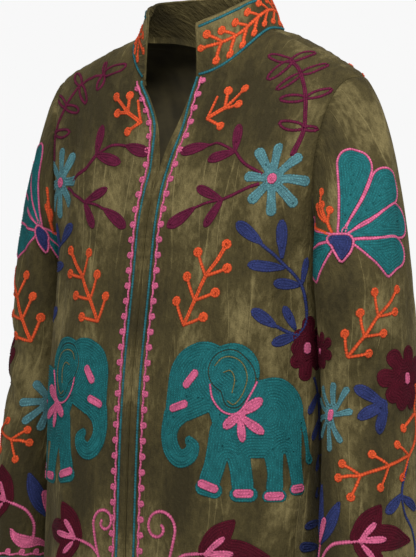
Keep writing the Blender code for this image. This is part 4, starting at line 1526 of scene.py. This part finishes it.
def cotton_thread(tree, shader, colour):
    """Matt cotton thread in chain stitch: dyed a little unevenly, with a twisted ply."""
    flat = add(tree, "ShaderNodeUVMap", uv_map="Cloth").outputs["UV"]
    # Dye takes unevenly over 10 to 20 mm of thread
    grown = {"Scale": 90.0, "Detail": 3.0, "Roughness": 0.7}
    cloud = add(tree, "ShaderNodeTexNoise", {"Vector": flat}, grown).outputs["Fac"]
    ramp = add(tree, "ShaderNodeValToRGB", {"Fac": cloud})
    stops = ramp.color_ramp.elements
    stops[0].position, stops[0].color = 0.32, opaque(colour, 0.58)
    stops[1].position, stops[1].color = 0.70, opaque(colour, 1.18)
    # Painted shade: the colour is darkened where little light reaches, in the gaps between rows and links,
    # and kept full at the top of each link
    height = add(tree, "ShaderNodeUVMap", uv_map="Height").outputs["UV"]
    height = add(tree, "ShaderNodeSeparateXYZ", {"Vector": height}).outputs["X"]
    light = add(tree, "ShaderNodeMapRange", {"Value": height}, {"To Min": 0.2, "To Max": 1.16}).outputs[0]
    colour_with_painted_shade = {0: ramp.outputs["Color"], 1: light}
    colour_with_painted_shade = add(tree, "ShaderNodeVectorMath", colour_with_painted_shade, operation="MULTIPLY").outputs[0]
    # Plies lie 1 mm apart in the twist
    ply = {"Scale": 300.0, "Distortion": 2.0}
    ply = add(tree, "ShaderNodeTexWave", {"Vector": flat}, ply, bands_direction="DIAGONAL").outputs["Fac"]
    bump = add(tree, "ShaderNodeBump", {"Height": ply}, {"Strength": 0.5, "Distance": 0.0005}).outputs[0]
    fill(tree, shader, {"Base Color": colour_with_painted_shade, "Normal": bump}, {"Roughness": 0.8, "Specular IOR Level": 0.12})


def plaster(tree, shader):
    """A studio floor of painted plaster: pale, even and matt, with faint roller marks."""
    place = add(tree, "ShaderNodeTexCoord").outputs["Object"]
    marks = add(tree, "ShaderNodeTexNoise", {"Vector": place}, {"Scale": 6.0, "Detail": 3.0}).outputs["Fac"]
    ramp = add(tree, "ShaderNodeValToRGB", {"Fac": marks})
    for stop, code in zip(ramp.color_ramp.elements, ("EDEDEC", "F4F4F3")):
        stop.color = opaque(linear(code))
    fill(tree, shader, {"Base Color": ramp.outputs["Color"]}, {"Roughness": 0.9})


def thread_look(name, colour):
    """The thread of one colour."""
    return made_look(f"chain-stitched cotton, {name}", cotton_thread, colour)


def cloth_looks(context, lined=True):
    """The velvet, with its backing or with velvet on its inner side too."""
    cloth = context.scene.jacket_cloth
    outer = made_look("crushed cotton velvet", velvet, cloth)
    return [outer, made_look("plain woven cotton backing", backing, cloth) if lined else outer]


def studio_world(stage):
    """A pale backdrop all round at the camera's height, and dimmer light from above and below."""
    world = bpy.data.worlds.new("studio")
    world.use_nodes = True
    tree = world.node_tree
    way = add(tree, "ShaderNodeTexCoord").outputs["Generated"]
    way = add(tree, "ShaderNodeSeparateXYZ", {"Vector": way}).outputs["Z"]
    tilt = add(tree, "ShaderNodeMath", {0: way}, operation="ABSOLUTE").outputs[0]
    strength = {"From Min": 0.13, "From Max": 0.2, "To Min": 1.0, "To Max": stage.fill}
    strength = add(tree, "ShaderNodeMapRange", {"Value": tilt}, strength).outputs[0]
    fill(tree, tree.nodes["Background"], {"Strength": strength}, {"Color": opaque(stage.backdrop)})
    return world


# Settings


def colour_setting(name, code, description):
    """A colour property with an sRGB hex value as its default."""
    return FloatVectorProperty(
        name=name, description=description, default=linear(code), subtype="COLOR", size=3, min=0, max=1
    )


class JacketCloth(bpy.types.PropertyGroup):
    # Shade and sheen are the velvet's colour with painted shade and painted sheen; sheen also tints the
    # shader's own sheen
    shade: colour_setting("Shade", "2F2916", "Colour of the pile where it lies away from the light")
    velvet: colour_setting("Velvet", "433B21", "Colour of the velvet")
    sheen: colour_setting("Sheen", "6E6340", "Colour of the pile where it catches the light")
    roll: FloatProperty(
        name="Rolled edge",
        description="Half the thickness of a rolled edge",
        default=0.0011,
        unit="LENGTH",
        min=0,
    )


class JacketThreads(bpy.types.PropertyGroup):
    teal: colour_setting("Teal", "1F6B6E", "Elephants and fan flowers")
    lagoon: colour_setting("Lagoon", "57878D", "Star flowers and thin flowers")
    burgundy: colour_setting("Burgundy", "631A38", "Leaf sprays and looped branches")
    wine: colour_setting("Wine", "500C1E", "Round flowers and lilies")
    orange: colour_setting("Orange", "E2592F", "Coral sprigs")
    pink: colour_setting("Pink", "D9688F", "Picots, outlines and stamens")
    navy: colour_setting("Navy", "30396A", "Leaves and vines")
    cord: colour_setting("Cord", "2B6C74", "Edge cords")
    ochre: colour_setting("Ochre", "7E7546", "Fine lines in the ears")


class JacketStage(bpy.types.PropertyGroup):
    backdrop: colour_setting("Backdrop", "F8F8F8", "Colour all round the jacket")
    floor_radius: FloatProperty(
        name="Floor radius", description="Half the floor's width", default=4.0, unit="LENGTH"
    )
    floor_height: FloatProperty(
        name="Floor height", description="Height of the floor", default=-1.42, unit="LENGTH"
    )
    fill: FloatProperty(
        name="Fill",
        description="Light from above and below, as a share of the backdrop's",
        default=0.5,
        min=0,
    )
    key: FloatProperty(
        name="Key light", description="Power of the large soft light", default=68.0, unit="POWER"
    )


# Operators

SIDE_NAMES = ("left", "right")
HEM_ROLL = 0.8  # a hem's or a cuff's roll, as a share of the front edges'
COLLAR_ROLL = 1.1
ROLL_SINK = 0.3  # how far the front edges' rolls sink in, as a share of their radius


def dress(node, patches, thickness, looks):
    """The cloth that shows in a CAD piece's place, with its flat places in metres on its map, and the CAD
    piece hidden.
    """
    piece = add_shell("velvet_" + node, patches, thickness, looks)
    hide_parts(node)


class JACKET_OT_bodice(bpy.types.Operator):
    """Cut the two fronts and the back from crushed velvet"""

    bl_idname = "jacket.bodice"
    bl_label = "Fronts and back"

    def execute(self, context):
        for name in ("front_left", "front_right", "back"):
            patches = [(lapped(lay.grid), lay.normal, lay.flat(), False) for lay in panel(name).lays]
            dress(name, patches, CLOTH, cloth_looks(context))
        return {"FINISHED"}


class JACKET_OT_sleeves(bpy.types.Operator):
    """Cut the two sleeves from crushed velvet"""

    bl_idname = "jacket.sleeves"
    bl_label = "Sleeves"

    def execute(self, context):
        reach, inward = SLEEVE_ALLOWANCE
        for name, way in (("sleeve_left", -reach), ("sleeve_right", reach)):
            (lay,) = panel(name).lays
            patch = allowance((lay.grid, lay.normal, lay.flat(), True), False, (way, 0.0, 0.0), inward)
            dress(name, [patch], CLOTH, cloth_looks(context))
        return {"FINISHED"}


class JACKET_OT_collar(bpy.types.Operator):
    """Cut the stand collar and the bands along the front edges"""

    bl_idname = "jacket.collar"
    bl_label = "Collar and front bands"

    def execute(self, context):
        looks = cloth_looks(context, lined=False)
        reach, inward = COLLAR_ALLOWANCE
        (lay,) = panel("collar").lays
        patch = allowance((lay.grid, lay.normal, lay.flat(), False), True, (0.0, 0.0, -reach), inward)
        dress("collar", [patch], COLLAR_CLOTH, looks)
        for side in SIDE_NAMES:
            (lay,) = panel("front_" + side).lays
            points, normals = front_band(lay.grid, lay.normal)
            across, up = np.linspace(0, BAND_WIDTH, points.shape[1]), lay.up[: len(points), 0] / 1000
            patches = [(points, normals, np.stack(np.meshgrid(across, up), axis=2), False)]
            dress("front_band_" + side, patches, BAND_CLOTH, looks)
        return {"FINISHED"}


class JACKET_OT_rolls(bpy.types.Operator):
    """Roll the velvet over at the front edges, the collar, the hem and the cuffs"""

    bl_idname = "jacket.rolls"
    bl_label = "Rolled edges"

    def execute(self, context):
        radius = context.scene.jacket_cloth.roll
        looks = cloth_looks(context, lined=False)[:1]
        for side in SIDE_NAMES:
            (lay,) = panel("front_" + side).lays
            edge = (lay.grid - ROLL_SINK * radius * lay.normal)[: NECK_ROW + 1, 0]
            add_roll("roll_front_" + side, edge, radius, looks)
            add_roll("roll_hem_front_" + side, mid_cloth(lay)[0], HEM_ROLL * radius, looks)
            (lay,) = panel("sleeve_" + side).lays
            cuff = mid_cloth(lay)[0, :-1]
            add_roll("roll_cuff_" + side, cuff, HEM_ROLL * radius, looks, closed=True)
        left, right = (mid_cloth(lay)[0] for lay in panel("back").lays)
        add_roll("roll_hem_back", np.concatenate([right[:0:-1], left]), HEM_ROLL * radius, looks)
        (lay,) = panel("collar").lays
        middle = mid_cloth(lay, COLLAR_CLOTH)
        rim = np.concatenate([middle[:-1, 0], middle[-1], middle[-2::-1, -1]])
        add_roll("roll_collar", rim, COLLAR_ROLL * radius, looks)
        return {"FINISHED"}


class JACKET_OT_front_embroidery(bpy.types.Operator):
    """Embroider both fronts, and edge them with cords and picots"""

    bl_idname = "jacket.front_embroidery"
    bl_label = "Front embroidery"

    def execute(self, context):
        for side, places in zip(SIDE_NAMES, (ON_FRONT_LEFT, ON_FRONT_RIGHT)):
            work = Stitching(panel("front_" + side))
            work.work(drawn(places) + border(*FRONT_BORDER))
            work.surface = edge_panel("front_" + side)
            (lay,) = work.surface.lays
            work.work(upright(border(2, lay.up[NECK_ROW, 0], EDGE_CORD, EDGE_PICOT), NEARER_FROM[side]))
            work.sewn("embroidery_front_" + side, context.scene.jacket_threads)
        return {"FINISHED"}


class JACKET_OT_back_embroidery(bpy.types.Operator):
    """Embroider the back"""

    bl_idname = "jacket.back_embroidery"
    bl_label = "Back embroidery"

    def execute(self, context):
        half = drawn(ON_BACK)
        work = Stitching(panel("back"))
        work.work(half + moved(half, 0, 0, flip=-1) + drawn(ON_MIDDLE_BACK) + border(*BACK_BORDER))
        work.sewn("embroidery_back", context.scene.jacket_threads)
        return {"FINISHED"}


class JACKET_OT_sleeve_embroidery(bpy.types.Operator):
    """Embroider both sleeves, with a border round each cuff"""

    bl_idname = "jacket.sleeve_embroidery"
    bl_label = "Sleeve embroidery"

    def execute(self, context):
        for side, places in zip(SIDE_NAMES, (ON_SLEEVE_LEFT, ON_SLEEVE_RIGHT)):
            work = Stitching(panel("sleeve_" + side))
            work.work(drawn(places) + border(*CUFF_BORDER))
            work.sewn("embroidery_sleeve_" + side, context.scene.jacket_threads)
        return {"FINISHED"}


class JACKET_OT_collar_embroidery(bpy.types.Operator):
    """Embroider the collar, with a cord at its seam and under its top edge"""

    bl_idname = "jacket.collar_embroidery"
    bl_label = "Collar embroidery"

    def execute(self, context):
        work = Stitching(None)
        for reverse in (False, True):
            work.surface = edge_panel("collar", reverse)
            (lay,) = work.surface.lays
            work.work(MOTIFS["collar branch"]())
            for row, inset in COLLAR_CORDS:
                across = np.linspace(1, lay.high[row] / 2, 60)
                up = np.interp(across, lay.at_across, lay.up[row]) + inset
                work.work([thread("cord", np.column_stack([across, up]), COLLAR_CORD_WIDTH)])
        work.sewn("embroidery_collar", context.scene.jacket_threads)
        return {"FINISHED"}


CAMERA_AZIMUTH = math.radians(38)
CAMERA_DISTANCE = 3.2
CAMERA_TARGET = Vector((0, 0, -0.2855))
SENSOR = 36.0  # millimetres high
FOCAL_PIXELS = 2752
FRAME_HEIGHT = 557
KEY_SIZE = 1.0
KEY_PLACE = (1.8, 0.3, 1.8)  # from the camera's target: toward the camera, to its right and up
FLOOR_SIDES = 96


class JACKET_OT_stage(bpy.types.Operator):
    """Set out the floor, the light and the camera"""

    bl_idname = "jacket.stage"
    bl_label = "Studio"

    def execute(self, context):
        scene, stage = context.scene, context.scene.jacket_stage
        turn = np.linspace(0, 2 * np.pi, FLOOR_SIDES, endpoint=False)
        radius = stage.floor_radius
        points = [(radius * math.cos(a), radius * math.sin(a), stage.floor_height) for a in turn]
        data = bpy.data.meshes.new("studio_floor")
        data.from_pydata(points, [], [range(len(points))])
        data.materials.append(made_look("painted plaster floor", plaster))
        add_object("studio_floor", data)
        scene.world = studio_world(stage)
        scene.view_settings.view_transform = "Standard"
        toward = Vector((math.sin(CAMERA_AZIMUTH), -math.cos(CAMERA_AZIMUTH), 0))
        right = Vector((math.cos(CAMERA_AZIMUTH), math.sin(CAMERA_AZIMUTH), 0))
        data = bpy.data.cameras.new("camera")
        data.sensor_fit, data.sensor_height = "VERTICAL", SENSOR
        data.lens = FOCAL_PIXELS * SENSOR / FRAME_HEIGHT
        scene.camera = add_object("camera", data)
        scene.camera.location = CAMERA_TARGET + CAMERA_DISTANCE * toward
        scene.camera.rotation_euler = (math.pi / 2, 0, CAMERA_AZIMUTH)
        data = bpy.data.lights.new("key", "AREA")
        data.shape, data.size, data.energy = "DISK", KEY_SIZE, stage.key
        key = add_object("key", data)
        near, aside, up = KEY_PLACE
        key.location = CAMERA_TARGET + near * toward + aside * right + Vector((0, 0, up))
        key.rotation_euler = (CAMERA_TARGET - key.location).to_track_quat("-Z", "Y").to_euler()
        return {"FINISHED"}


STEPS = (
    JACKET_OT_stage,
    JACKET_OT_bodice,
    JACKET_OT_sleeves,
    JACKET_OT_collar,
    JACKET_OT_rolls,
    JACKET_OT_front_embroidery,
    JACKET_OT_back_embroidery,
    JACKET_OT_sleeve_embroidery,
    JACKET_OT_collar_embroidery,
)


class JACKET_PT_steps(bpy.types.Panel):
    """The jacket's steps and settings"""

    bl_idname = "JACKET_PT_steps"
    bl_label = "Suzani Jacket"
    bl_space_type = "VIEW_3D"
    bl_region_type = "UI"
    bl_category = "Jacket"

    def draw(self, context):
        for group in (context.scene.jacket_cloth, context.scene.jacket_threads, context.scene.jacket_stage):
            box = self.layout.box()
            for name in type(group).__annotations__:
                box.prop(group, name)
        for step in STEPS:
            self.layout.operator(step.bl_idname)


GROUPS = {"jacket_cloth": JacketCloth, "jacket_threads": JacketThreads, "jacket_stage": JacketStage}


def register():
    for made in (*GROUPS.values(), *STEPS, JACKET_PT_steps):
        bpy.utils.register_class(made)
    for name, group in GROUPS.items():
        setattr(bpy.types.Scene, name, PointerProperty(type=group))


def unregister():
    for name in GROUPS:
        delattr(bpy.types.Scene, name)
    for made in (JACKET_PT_steps, *reversed(STEPS), *reversed(GROUPS.values())):
        bpy.utils.unregister_class(made)


def main():
    register()
    for step in STEPS:
        group, name = step.bl_idname.split(".")
        getattr(getattr(bpy.ops, group), name)()


if __name__ == "__main__":
    main()
